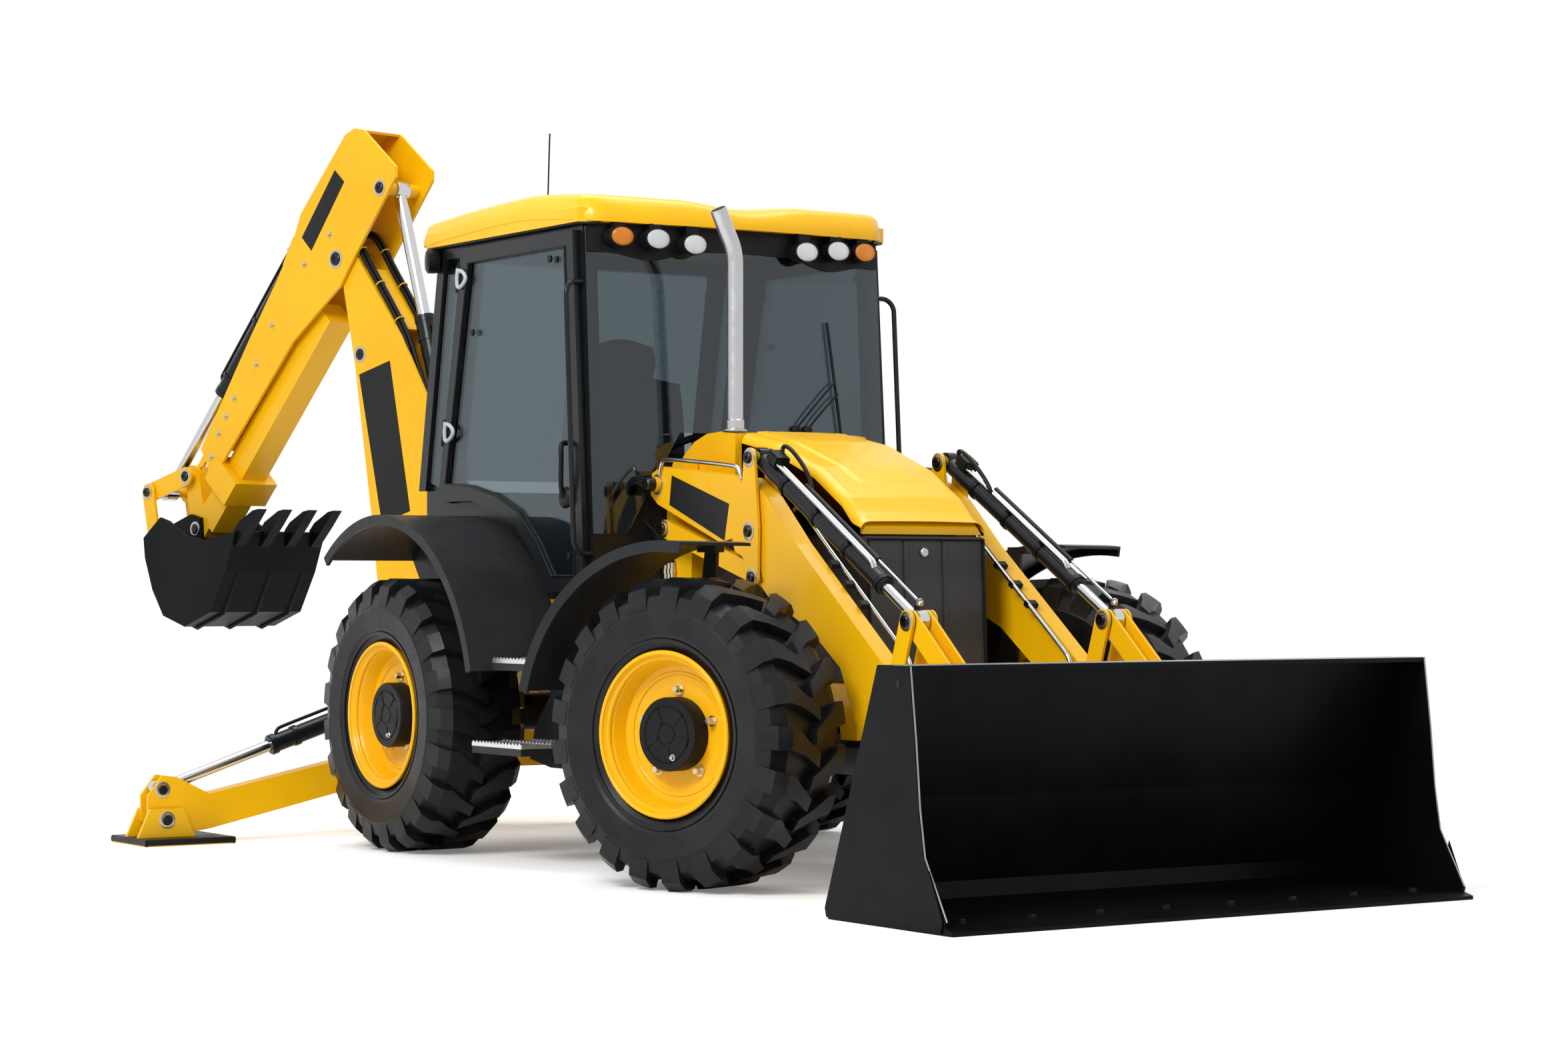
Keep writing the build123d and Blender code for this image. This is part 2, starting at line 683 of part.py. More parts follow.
half_w = bucket_w / 2
with BuildPart() as loader_bucket:
    with BuildSketch(side(0)):
        with BuildLine():
            Polyline((4244, 0), (4244, 14), (4200, 26), (3640, 28), (3560, 50), (3548, 110), (3650, 420),
                     (3838, 884), (3998, 880), (3998, 896), (3812, 896), (3630, 400), (3493, 40),
                     (3500, 10), (3520, 0), close=True)
        make_face()
    extrude(amount=half_w, both=True)
    for y in (-half_w + bucket_plate, half_w):
        with BuildSketch(side(y)):
            with BuildLine():
                Polyline((3493, 35), (3520, 0), (4190, 0), (4206, 41), (4080, 250), (4052, 411),
                         (4030, 640), (3998, 896), (3812, 896), close=True)
            make_face()
        extrude(amount=bucket_plate)
    for y, t in plate_pair(47, 12):
        with BuildSketch(side(y)):
            with BuildLine():
                Polyline((3425, 290), (3530, 620), (3560, 640), (3740, 700), (3580, 260), (3505, 240),
                         close=True)
            make_face()
            with Locations(bucket_pivot, bucket_lug):
                Circle(55)
        extrude(amount=t)
    with BuildSketch(side(-arm_y)):
        with Locations(bucket_lug):
            Circle(link_pin_r)
        with Locations(bucket_pivot):
            Circle(30)
    extrude(amount=62, both=True)
    mirror(about=Plane.XZ)
save("loader_bucket", loader_bucket.part)
print("bucket solids", len(loader_bucket.part.solids()))

# Cab
door_edge = ((-205.0, 1545.0), (18.0, roof_z - 30))     # rear edge of each door
hinge_y = 788.0
hinge_heights = (1854.0, 2538.0)
hinge_lean = Vector(door_edge[1][0] - door_edge[0][0], 0, door_edge[1][1] - door_edge[0][1]).normalized()


def hinge_plane(sign, z, offset):
    """Plane across a door's hinge line at height z, moved up it by offset."""
    x = door_edge[0][0] + (z - door_edge[0][1]) * hinge_lean.X / hinge_lean.Z - 8
    return Plane(origin=Vector(*side_point(x, sign * hinge_y, z)) + hinge_lean * offset,
                 x_dir=(0, 1, 0), z_dir=hinge_lean)


sill = ((-420, 1110), (-420, 1650), (-190, 1590), (60, 1560), (250, 1515), (420, 1445), (580, 1340),
        (690, 1190), (710, 1170), (1105, 1170), (1105, 1110))
posts = ((1090, 1140, 1000, roof_z), (-183, 1540, 38, roof_z), (-420, 1600, -225, roof_z))
post_w = 64.0
wall = 40.0
with BuildPart() as cab:
    with BuildSketch(level(cab_floor_z)):
        with Locations(((1105 - 420) / 2, 0)):
            Rectangle(1105 + 420, 2 * 690)
    extrude(amount=40)
    with BuildSketch(side(-690)):
        with BuildLine():
            Polyline(*sill, close=True)
        make_face()
    extrude(amount=wall)
    for x0, z0, x1, z1 in posts:
        with BuildSketch(side(-690)):
            with BuildLine():
                Polyline((x0 - post_w / 2, z0), (x0 + post_w / 2, z0), (x1 + post_w / 2, z1),
                         (x1 - post_w / 2, z1), close=True)
            make_face()
        extrude(amount=cab_half - 690)
    with BuildSketch(side(-690)):
        with BuildLine():
            Polyline((-225, roof_z - 60), (1020, roof_z - 60), (1020, roof_z), (-225, roof_z), close=True)
        make_face()
    extrude(amount=cab_half - 690)
    mirror(about=Plane.XZ)
    for x in (-225, 1000):
        with BuildSketch(level(roof_z - 60)):
            with Locations((x, 0)):
                Rectangle(64, 1400)
        extrude(amount=60)
    with BuildSketch(level(1110)):
        with Locations((-405, 0)):
            Rectangle(30, 1400)
    extrude(amount=490)
    with BuildSketch(Plane(origin=side_point(1105, 0, 0), x_dir=(0, 1, 0), z_dir=(1, 0, 0))):
        with BuildLine():
            Polyline((-cab_half, 1110), (-cab_half, 1385), (-600, 1385), (-440, 1660), (-340, 1700),
                     (340, 1700), (440, 1660), (600, 1385), (cab_half, 1385), (cab_half, 1110),
                     close=True)
        make_face()
    extrude(amount=24)
    for sign in (-1, 1):
        with BuildLine() as rail_line:
            FilletPolyline(side_point(1032, sign * 748, 2450), side_point(1045, sign * 845, 2450),
                           side_point(1117, sign * 845, 1300), side_point(1117, sign * 748, 1300),
                           radius=60)
        with BuildSketch(Plane(origin=rail_line.line @ 0, z_dir=rail_line.line % 0)):
            Circle(11)
        sweep(path=rail_line.line)
        for z in hinge_heights:
            for low in (-60, 20):
                with BuildSketch(hinge_plane(sign, z, low)):
                    Circle(7)
                    with Locations((-sign * 17, 7)):
                        Rectangle(34, 24)
                extrude(amount=40)
            with BuildSketch(hinge_plane(sign, z, -30)):
                Circle(4)
            extrude(amount=60)
save("cab_frame", cab.part)
print("cab solids", len(cab.part.solids()))

with BuildPart() as roof:
    for z, rise, taper in ((roof_z + seat, 62, 0), (roof_z + seat + 62, 75, 52)):
        with BuildSketch(level(z)):
            with BuildLine():
                Polyline((1095, 690), (1045, 790), (-320, 790), (-400, 700), (-400, -700), (-320, -790),
                         (1045, -790), (1095, -690))
                ThreePointArc((1095, -690), (1168, 0), (1095, 690))
            make_face()
        extrude(amount=rise, taper=taper)
    with BuildSketch(side(0)):
        with BuildLine():
            Polyline((1200, roof_z), (1200, 2712), (1030, 2770))
            ThreePointArc((1030, 2770), (300, 2832), (-330, 2800))
            Polyline((-330, 2800), (-420, 2760), (-420, roof_z), (1200, roof_z))
        make_face()
    extrude(amount=900, both=True, mode=Mode.INTERSECT)
save("cab_roof", roof.part)

lamps = ((-624, 2650, 1080, 60), (-463, 2645, 1106, 62), (-287, 2630, 1120, 62),
         (287, 2630, 1120, 62), (463, 2645, 1106, 62), (624, 2650, 1080, 60))
with BuildPart() as roof_lamps:
    for y, z, x, r in lamps:
        with BuildSketch(Plane(origin=side_point(x, y, z - 10), x_dir=(0, 1, 0), z_dir=(1, 0, 0))):
            Ellipse(r, r * 0.72)
        extrude(amount=50)
        with BuildSketch(level(z)):
            with Locations((x + 22, y)):
                Rectangle(36, 60)
        extrude(amount=roof_z - z)
save("roof_lamps", roof_lamps.part)

lean = -90.0 / 1560.0       # how far the windscreen leans back per unit of height
with BuildPart() as cab_glass:
    with BuildSketch(Plane(origin=side_point(0, 0, 1320), x_dir=(1, 0, -lean),
                           z_dir=Vector(lean, 0, 1).normalized())):
        with BuildLine():
            ThreePointArc((1119, -cab_half + 4), (1192, 0), (1119, cab_half - 4))
            Line((1119, cab_half - 4), (1113, cab_half - 4))
            ThreePointArc((1113, cab_half - 4), (1186, 0), (1113, -cab_half + 4))
            Line((1113, -cab_half + 4), (1119, -cab_half + 4))
        make_face()
    extrude(amount=1400)
    with BuildSketch(level(roof_z)):
        Rectangle(4000, 4000)
    extrude(amount=200, mode=Mode.SUBTRACT)
    with BuildSketch(level(1386)):
        Rectangle(4000, 4000)
    extrude(amount=-300, mode=Mode.SUBTRACT)
    with BuildSketch(Plane(origin=side_point(1000, 0, 0), x_dir=(0, 1, 0), z_dir=(1, 0, 0))):
        with BuildLine():
            Polyline((-601, 1300), (-601, 1386), (-441, 1662), (-410, 1706), (-345, 1818), (345, 1818),
                     (410, 1706), (441, 1662), (601, 1386), (601, 1300), close=True)
        make_face()
    extrude(amount=300, mode=Mode.SUBTRACT)
    with BuildSketch(Plane(origin=side_point(-448.8, 0, 1655), x_dir=(0, 1, 0),
                           z_dir=Vector(-1100, 0, 195).normalized())):
        with Locations((0, -510)):
            Rectangle(1440, 1020)
    extrude(amount=-glass_t)
save("cab_glass", cab_glass.part)
print("glass solids", len(cab_glass.part.solids()))

with BuildPart() as interior:
    for x, y, z, w, d, h, r in ((300, 0, 1150 + seat, 420, 420, 260, 60),
                                (320, 0, 1410, 520, 500, 130, 80),
                                (110, 0, 1480, 130, 480, 600, 50),
                                (960, 0, 1150 + seat, 240, 460, 480, 60)):
        with BuildSketch(level(z)):
            with Locations((x, y)):
                RectangleRounded(w, d, r)
        extrude(amount=h)
    wheel_tilt = Plane(origin=side_point(720, 0, 1720), x_dir=(0, 1, 0),
                       z_dir=(-sin(radians(30)), 0, cos(radians(30))))
    with BuildSketch(wheel_tilt):
        Circle(200)
        Circle(176, mode=Mode.SUBTRACT)
        Rectangle(380, 30)
    extrude(amount=24)
    column, column_len = along(side_point(900, 0, 1420), side_point(722, 0, 1730))
    with BuildSketch(column):
        Circle(35)
    extrude(amount=column_len)
save("cab_interior", interior.part)

# Doors, hinged along their leaning rear edges
door_t = 30.0
door_window = ((-125, 1625), (85, roof_z - 100), (935, roof_z - 100), (1020, 1387), (1025, 1212),
               (830, 1212), (705, 1358), (535, 1495), (340, 1566), (100, 1612))
for sign, side_name in ((-1, "right"), (1, "left")):
    with BuildPart() as door:
        with BuildSketch(side(sign * (cab_half + 3))):
            with BuildLine():
                Polyline(*door_edge, (1000, roof_z - 30), (1090, 1387), (1095, 1142), (790, 1142),
                         (660, 1300), (500, 1430), (320, 1500), (100, 1545), close=True)
            make_face()
            with BuildLine():
                Polyline(*door_window, close=True)
            make_face(mode=Mode.SUBTRACT)
        extrude(amount=-sign * door_t)
        for z in hinge_heights:
            with BuildSketch(hinge_plane(sign, z, -18)):
                Circle(7)
                with Locations((-sign * 10, -6)):
                    Rectangle(20, 12)
            extrude(amount=36)
            with BuildSketch(hinge_plane(sign, z, -19)):
                Circle(4 + pin_gap)
            extrude(amount=38, mode=Mode.SUBTRACT)
    save(f"door_{side_name}", door.part)
    with BuildPart() as pane:
        with BuildSketch(side(sign * (cab_half + 3 + door_t / 2))):
            with BuildLine():
                Polyline(*door_window, close=True)
            make_face()
            offset(amount=-seat, mode=Mode.REPLACE)
        extrude(amount=glass_t / 2, both=True)
    save(f"door_glass_{side_name}", pane.part)

# Rear wings
rear_wing_r = 880.0
fender_in = 730.0 + seat    # rear wings stand against the cab's lower panels
fender_out = 1190.0
wing_from = 14.0
wing_to = 128.0
with BuildPart() as rear_fenders:
    with BuildSketch(side(-fender_in)):
        with BuildLine():
            first = radians(wing_from)
            last = radians(wing_to)
            CenterArc((0, wheel_r), rear_wing_r, wing_from, wing_to - wing_from)
            CenterArc((0, wheel_r), rear_wing_r - 14, wing_from, wing_to - wing_from)
            Line((rear_wing_r * cos(first), wheel_r + rear_wing_r * sin(first)),
                 ((rear_wing_r - 14) * cos(first), wheel_r + (rear_wing_r - 14) * sin(first)))
            Line((rear_wing_r * cos(last), wheel_r + rear_wing_r * sin(last)),
                 ((rear_wing_r - 14) * cos(last), wheel_r + (rear_wing_r - 14) * sin(last)))
        make_face()
    extrude(amount=fender_out - fender_in)
    with BuildSketch(side(-fender_out + 16)):
        with BuildLine():
            CenterArc((0, wheel_r), rear_wing_r - 1, wing_from, wing_to - wing_from)
            CenterArc((0, wheel_r), rear_wing_r - wing_lip, wing_from, wing_to - wing_from)
            Line(((rear_wing_r - 1) * cos(first), wheel_r + (rear_wing_r - 1) * sin(first)),
                 ((rear_wing_r - wing_lip) * cos(first), wheel_r + (rear_wing_r - wing_lip) * sin(first)))
            Line(((rear_wing_r - 1) * cos(last), wheel_r + (rear_wing_r - 1) * sin(last)),
                 ((rear_wing_r - wing_lip) * cos(last), wheel_r + (rear_wing_r - wing_lip) * sin(last)))
        make_face()
    extrude(amount=16)
    with BuildSketch(side(-fender_in)):
        with BuildLine():
            CenterArc((0, wheel_r), rear_wing_r - 2, wing_from, wing_to - wing_from)
            CenterArc((0, wheel_r), wheel_r + 40, wing_from, wing_to - wing_from)
            Line(((rear_wing_r - 2) * cos(first), wheel_r + (rear_wing_r - 2) * sin(first)),
                 ((wheel_r + 40) * cos(first), wheel_r + (wheel_r + 40) * sin(first)))
            Line(((rear_wing_r - 2) * cos(last), wheel_r + (rear_wing_r - 2) * sin(last)),
                 ((wheel_r + 40) * cos(last), wheel_r + (wheel_r + 40) * sin(last)))
        make_face()
    extrude(amount=12)
    mirror(about=Plane.XZ)

# Side boxes and steps
with BuildPart() as side_boxes:
    with BuildSketch(side(-450)):
        with BuildLine():
            Polyline((720, 430), (900, 400), (1430, 400), (1430, 600), (1180, 900), (1100, 960),
                     (930, 960), (890, 700), (760, 560), close=True)
        make_face()
    extrude(amount=380)
    with BuildSketch(side(-rail_in - rail_t - seat)):
        with Locations((840, 540)):
            Rectangle(80, 80)
    extrude(amount=452 - rail_in - rail_t)
    for z, x0, x1, reach in ((466, 760, 1180, 1130), (816, 900, 1180, 1110)):
        with BuildSketch(level(z)):
            with Locations(((x0 + x1) / 2, -(829 + reach) / 2)):
                Rectangle(x1 - x0, reach - 829)
        extrude(amount=30)
    mirror(about=Plane.XZ)
save("fenders_and_steps", Compound(children=[rear_fenders.part, side_boxes.part]))

# Slew post
with BuildPart() as kingpost:
    with BuildSketch(level(post_bottom + lug_t + 5)):
        with Locations((slew_x, 0)):
            Circle(115)
    extrude(amount=post_top - lug_t - 5 - post_bottom - lug_t - 5)
    with BuildSketch(level(post_bottom - 20)):
        with Locations((slew_x, 0)):
            Circle(60)
    extrude(amount=post_top + 20 - post_bottom + 20)
    for n in (-137, 112):
        with BuildSketch(hoe(n)):
            with BuildLine():
                Polyline((0, 480), (0, 1110), (140, 1110), (245, 1050), (290, 900), (400, 790),
                         (430, 700), (400, 620), (280, 540), (160, 480), close=True)
            make_face()
        extrude(amount=25)
    with BuildSketch(hoe(0)):
        with Locations((80, 600)):
            Rectangle(100, 240)
    extrude(amount=113, both=True)
    with BuildSketch(hoe(0)):
        with Locations(boom_foot):
            Circle(38)
    extrude(amount=150, both=True)
    with BuildSketch(hoe(0)):
        with Locations(boom_ram_base):
            Circle(34)
    extrude(amount=66, both=True)
    for n in (-66, 50):
        with BuildSketch(hoe(n)):
            with BuildLine():
                Polyline((60, 860), (60, 1050), (190, 1015), (245, 990), (250, 940), (190, 900), close=True)
            make_face()
        extrude(amount=16)
save("kingpost", kingpost.part)
print("kingpost solids", len(kingpost.part.solids()))

# Boom
boom_outline = ((205, 640), (200, 760), (160, 1200), (150, 1801), (162, 2036), (400, 2420), (705, 2794),
                (790, 2905), (873, 2925), (950, 2890), (960, 2800), (844, 2697), (750, 2284),
                (609, 1453), (584, 1265), (560, 1100), (455, 640), (400, 590), (330, 570), (250, 590))
with BuildPart() as boom:
    for n, t in ((-boom_half, 14), (boom_half - 14, 14)):
        with BuildSketch(hoe(n)):
            with BuildLine():
                Polyline(*boom_outline, close=True)
            make_face()
            with Locations(boom_foot):
                Circle(38 + pin_gap, mode=Mode.SUBTRACT)
            with Locations(dipper_pivot):
                Circle(40 + pin_gap, mode=Mode.SUBTRACT)
        extrude(amount=t)
    for strip in (((560, 1100), (584, 1265), (609, 1453), (685, 1900), (669, 1903), (593, 1456), (568, 1268),
                   (544, 1103), (440, 700), (455, 690)),
                  ((844, 2697), (780, 2415), (764, 2420), (826, 2697)),
                  ((430, 2457), (690, 2776), (702, 2766), (442, 2447)),
                  ((156, 1300), (150, 1600), (166, 1600), (172, 1300))):
        with BuildSketch(hoe(0)):
            with BuildLine():
                Polyline(*strip, close=True)
            make_face()
        extrude(amount=boom_half - 13, both=True)
    for n in (-boom_half, 49.5):
        with BuildSketch(hoe(n)):
            with Locations(boom_ram_pin):
                Circle(34)
        extrude(amount=boom_half - 49.5)
    for n in (-boom_half, boom_half - 14):
        with BuildSketch(hoe(n)):
            bar_profile(dipper_ram_base, (210, 1560), 58)
        extrude(amount=14)
    with BuildSketch(hoe(0)):
        with Locations(dipper_ram_base):
            Circle(34)
    extrude(amount=boom_half, both=True)
save("boom", boom.part)
print("boom solids", len(boom.part.solids()))

boom_ram = ram(hoe, hoe_xyz, boom_ram_base, boom_ram_pin, 1250, 110, 48, 30, 46, 49, 34 + pin_gap, 0)
dipper_ram = ram(hoe, hoe_xyz, dipper_ram_base, dipper_ram_pin, 1000, 728, 50, 32, 46, 40, 34 + pin_gap, 0)
tip_ram = ram(hoe, hoe_xyz, tip_ram_base, tip_lever_end, 1040, 665, 44, 28, 42, 36, 26 + pin_gap, 0)
for name, part in (("boom_ram_barrel", boom_ram[0]), ("boom_ram_rod", boom_ram[1]),
                   ("dipper_ram_barrel", dipper_ram[0]), ("dipper_ram_rod", dipper_ram[1]),
                   ("hoe_ram_barrel", tip_ram[0]), ("hoe_ram_rod", tip_ram[1])):
    save(name, part)

# Dipper
dipper_outline = ((416, 3213), (416, 3265), (660, 3470), (729, 3485), (800, 3460), (1150, 3085),
                  (1212, 2950), (1330, 2770), (1567, 2459), (1972, 1895), (1875, 1728), (1214, 2426), (837, 2695),
                  (780, 2770))
slide_n = (-slide_dir[1], slide_dir[0])


def slide_box(start, end, low, high):
    """Corners of a box along the dipper's slide, from the nose pin and about the slide's middle."""
    corners = []
    for s, n in ((start, low), (end, low), (end, high), (start, high)):
        corners.append((slide_mid[0] + slide_dir[0] * s + slide_n[0] * n,
                        slide_mid[1] + slide_dir[1] * s + slide_n[1] * n))
    return corners


slide_mid = (nose_pin[0] - slide_n[0] * 20, nose_pin[1] - slide_n[1] * 20)
with BuildPart() as dipper:
    for n in (-head_half, head_half - dig_plate):
        with BuildSketch(hoe(n)):
            with BuildLine():
                Polyline(*dipper_outline, close=True)
            make_face()
        extrude(amount=dig_plate)
    with BuildSketch(hoe(0)):
        with BuildLine():
            Polyline((1320, 2764), (1557, 2453), (1962, 1889), (1972, 1895), (1567, 2459), (1330, 2770),
                     close=True)
        make_face()
    extrude(amount=head_half - dig_plate + 1, both=True)
    with BuildSketch(hoe(0)):
        with BuildLine():
            Polyline((660, 3470), (729, 3485), (800, 3460), (1150, 3085), (1139, 3077), (790, 3448),
                     (729, 3470), (665, 3458), close=True)
        make_face()
    extrude(amount=head_half - dig_plate + 1, both=True)
    with BuildSketch(hoe(0)):
        with Locations(dipper_pivot):
            Circle(40)
    extrude(amount=head_half, both=True)
    for n in (-head_half, 40.5):
        with BuildSketch(hoe(n)):
            with Locations(dipper_ram_pin):
                Circle(34)
        extrude(amount=head_half - 40.5)
    with BuildSketch(hoe(0)):
        with BuildLine():
            Polyline(*slide_box(-430, -280, -110, 110), close=True)
        make_face()
    extrude(amount=head_half + 8, both=True)
    with BuildSketch(hoe(0)):
        with BuildLine():
            Polyline(*slide_box(-1900, -100, -75.5, 75.5), close=True)
        make_face()
    extrude(amount=inner_half + 0.5, both=True, mode=Mode.SUBTRACT)
save("dipper_outer", dipper.part)
print("dipper solids", len(dipper.part.solids()))

with BuildPart() as inner:
    with BuildSketch(hoe(0)):
        with BuildLine():
            Polyline(*slide_box(-1500, -60, -75, 75), close=True)
        make_face()
    extrude(amount=inner_half, both=True)
    with BuildSketch(hoe(0)):
        bar_profile(nose_pin, tip_lever_pivot, 60)
        bar_profile(nose_pin, (nose_pin[0] - slide_dir[0] * 120, nose_pin[1] - slide_dir[1] * 120), 60)
        with Locations(nose_pin):
            Circle(30 + pin_gap, mode=Mode.SUBTRACT)
        with Locations(tip_lever_pivot):
            Circle(30 + pin_gap, mode=Mode.SUBTRACT)
    extrude(amount=inner_half, both=True)
    for n in (-60, 44):
        with BuildSketch(hoe(n)):
            with BuildLine():
                Polyline((tip_ram_base[0] - 45, tip_ram_base[1] + 5), (tip_ram_base[0] - 10, tip_ram_base[1] + 45),
                         (tip_ram_base[0] + 40, tip_ram_base[1] + 10), (tip_ram_base[0] + 120, tip_ram_base[1] - 120),
                         (tip_ram_base[0] + 65, tip_ram_base[1] - 145), (tip_ram_base[0] - 30, tip_ram_base[1] - 20),
                         close=True)
            make_face()
            # rail over the outer dipper, from the ram's bracket down to the lever's pivot
            with BuildLine():
                Polyline((1316, 2838), (1337, 2777), (1574, 2466), (1979, 1902), (2045, 1805), (2105, 1792),
                         (1999, 1919), (1594, 2483), (1349, 2838), close=True)
            make_face()
        extrude(amount=16)
    with BuildSketch(hoe(0)):
        with Locations(tip_ram_base):
            Circle(26)
    extrude(amount=60, both=True)
save("dipper_inner", inner.part)
print("inner solids", len(inner.part.solids()))

# Tipping lever and link of the digging bucket
with BuildPart() as tip_lever:
    for n in (-126, 112):
        with BuildSketch(hoe(n)):
            bar_profile(tip_lever_pivot, tip_lever_end, 50)
        extrude(amount=14)
    with BuildSketch(hoe(0)):
        with Locations(tip_lever_pivot):
            Circle(30)
    extrude(amount=113, both=True)
    for n in (-152, 36.5):
        with BuildSketch(hoe(n)):
            with Locations(tip_lever_end):
                Circle(26)
        extrude(amount=115.5)
save("hoe_lever", tip_lever.part)

with BuildPart() as tip_link:
    for n in (-146, 132):
        with BuildSketch(hoe(n)):
            bar_profile(tip_lever_end, tip_link_end, 46)
            with Locations(tip_lever_end):
                Circle(26 + pin_gap, mode=Mode.SUBTRACT)
        extrude(amount=14)
    with BuildSketch(hoe(0)):
        with Locations(tip_link_end):
            Circle(28)
    extrude(amount=133, both=True)
save("hoe_link", tip_link.part)

with BuildPart() as hoe_bucket:
    half_h = hoe_bucket_w / 2
    with BuildSketch(hoe(0)):
        with BuildLine():
            Polyline((1467, 1448), (1549, 1240), (1669, 1030), (1886, 953), (2070, 1010), (2164, 1147),
                     (2229, 1315), (2243, 1422), (2229, 1424), (2215, 1319), (2150, 1152), (2062, 1022),
                     (1886, 967), (1677, 1043), (1563, 1246), (1482, 1452), close=True)
        make_face()
    extrude(amount=half_h, both=True)
    for n in (-half_h, half_h - 14):
        with BuildSketch(hoe(n)):
            with BuildLine():
                Polyline((1467, 1448), (1549, 1240), (1669, 1030), (1886, 953), (2070, 1010),
                         (2164, 1147), (2229, 1315), (2243, 1422), (2100, 1530), (2027, 1510),
                         (1880, 1430), (1725, 1405), close=True)
            make_face()
        extrude(amount=14)
    for n in (-106, 86):
        with BuildSketch(hoe(n)):
            with BuildLine():
                Polyline((2000, 1420), (2010, 1530), (2090, 1550), (2390, 1450), (2405, 1400),
                         (2370, 1340), (2222, 1300), (2157, 1150), (2060, 1200), close=True)
            make_face()
            with Locations(tip_link_end):
                Circle(55)
            with Locations(tip_link_end):
                Circle(28 + pin_gap, mode=Mode.SUBTRACT)
        extrude(amount=20)
    with BuildSketch(hoe(0)):
        with Locations(nose_pin):
            Circle(30)
    extrude(amount=106, both=True)
    for i in range(4):
        with BuildSketch(hoe(-half_h + 20 + i * (hoe_bucket_w - 40 - 60) / 3)):
            with BuildLine():
                Polyline((1530, 1350), (1480, 1380), (1380, 1480), (1305, 1563), (1350, 1556),
                         (1460, 1500), (1500, 1460), close=True)
            make_face()
        extrude(amount=60)
save("hoe_bucket", hoe_bucket.part)
print("hoe bucket solids", len(hoe_bucket.part.solids()))

# Stabilisers
for sign, side_name in ((-1, "right"), (1, "left")):
    with BuildPart() as leg:
        with BuildSketch(cross_plane(stab_x, sign)):
            with BuildLine():
                Polyline((380, 320), (1560, 60), (1700, 40), (1790, 35), (1860, 105), (1860, 220),
                         (1790, 310), (1720, 300), (1560, 220), (380, 460), (310, 430), (310, 350),
                         close=True)
            make_face()
            with Locations(stab_hinge):
                Circle(28 + pin_gap, mode=Mode.SUBTRACT)
            with Locations(stab_pad):
                Circle(26 + pin_gap, mode=Mode.SUBTRACT)
        extrude(amount=47, both=True)
        with BuildSketch(cross_plane(stab_x, sign)):
            with Locations(stab_ram_eye):
                Circle(190)
        extrude(amount=32, both=True, mode=Mode.SUBTRACT)
        with BuildSketch(cross_plane(stab_x, sign)):
            with Locations(stab_pad):
                Circle(44)
                Circle(26 + pin_gap, mode=Mode.SUBTRACT)
        extrude(amount=48, both=True)
        for dx in (-50, 26.5):
            with BuildSketch(cross_plane(stab_x + dx, 1)):
                with Locations((sign * stab_ram_eye[0], stab_ram_eye[1])):
                    Circle(24)
            extrude(amount=23.5)
    save(f"stabiliser_leg_{side_name}", leg.part)
    print("leg solids", len(leg.part.solids()))
    with BuildPart() as pad:
        with BuildSketch(level(0)):
            with Locations((stab_x, sign * 1717)):
                RectangleRounded(400, 436, 20)
        extrude(amount=28)
        for dx in (-76, 56):
            with BuildSketch(cross_plane(stab_x + dx, 1)):
                with BuildLine():
                    Polyline((sign * 1640, 26), (sign * 1700, 160), (sign * 1860, 160),
                             (sign * 1920, 26), close=True)
                make_face()
            extrude(amount=20)
        with BuildSketch(cross_plane(stab_x - 80, 1)):
            with Locations((sign * stab_pad[0], stab_pad[1])):
                Circle(26)
        extrude(amount=160)
    save(f"stabiliser_pad_{side_name}", pad.part)
    barrel, rod = ram(lambda x, s=sign: cross_plane(x, s), lambda y, z, x, s=sign: side_point(x, s * y, z),
                      stab_ram_top, stab_ram_eye, 857, 460, 42, 26, 42, 26, 28 + pin_gap, stab_x)
    save(f"stabiliser_barrel_{side_name}", barrel)
    save(f"stabiliser_rod_{side_name}", rod)
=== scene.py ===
"""Looks of the backhoe loader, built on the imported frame.

Metres in the row frame. sd() and hp() take the part's own millimetre coordinates: sd() those of its
side planes, ahead of the rear axle, and hp() those of its digging arm planes, behind the slew post.
"""

from math import cos, pi, radians, sin

import bmesh
import bpy
from mathutils import Matrix, Vector


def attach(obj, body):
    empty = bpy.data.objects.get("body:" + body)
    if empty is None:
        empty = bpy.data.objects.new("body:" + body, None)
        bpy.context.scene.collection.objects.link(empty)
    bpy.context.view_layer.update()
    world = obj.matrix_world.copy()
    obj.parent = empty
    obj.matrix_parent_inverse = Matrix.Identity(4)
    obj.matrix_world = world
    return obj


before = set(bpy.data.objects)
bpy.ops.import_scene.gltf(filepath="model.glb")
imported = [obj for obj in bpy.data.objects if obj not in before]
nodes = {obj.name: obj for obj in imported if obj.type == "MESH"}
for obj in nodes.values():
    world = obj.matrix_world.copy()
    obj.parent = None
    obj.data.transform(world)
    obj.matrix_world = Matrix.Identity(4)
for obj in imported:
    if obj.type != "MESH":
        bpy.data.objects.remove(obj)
scene = bpy.context.scene
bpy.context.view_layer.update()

# Sizes that the part also has, in millimetres
REAR_AXLE_X = -192.0
WHEELBASE = 2215.0
WHEEL_R = 600.0
TRACK_HALF = 972.0
KINGPIN_Y = 812.0
STEER_REST = 18.2
HUB_FACE = 166.0
ARM_Y = 470.0
BOOM_FACE = 105
DIPPER_FACE = 130
DOOR_FACE = 788
BUCKET_HALF = 1205
GRILLE_HALF = 283
BOX_FACE = 829
SLEW_X = -1360.0
SLEW_REST = 14.0
STAB_X = -1002.0


def sd(x, y, z):
    """Point of a side plane: x ahead of the rear axle, y to the left, z up."""
    return Vector(((x + REAR_AXLE_X) / 1000, y / 1000, z / 1000))


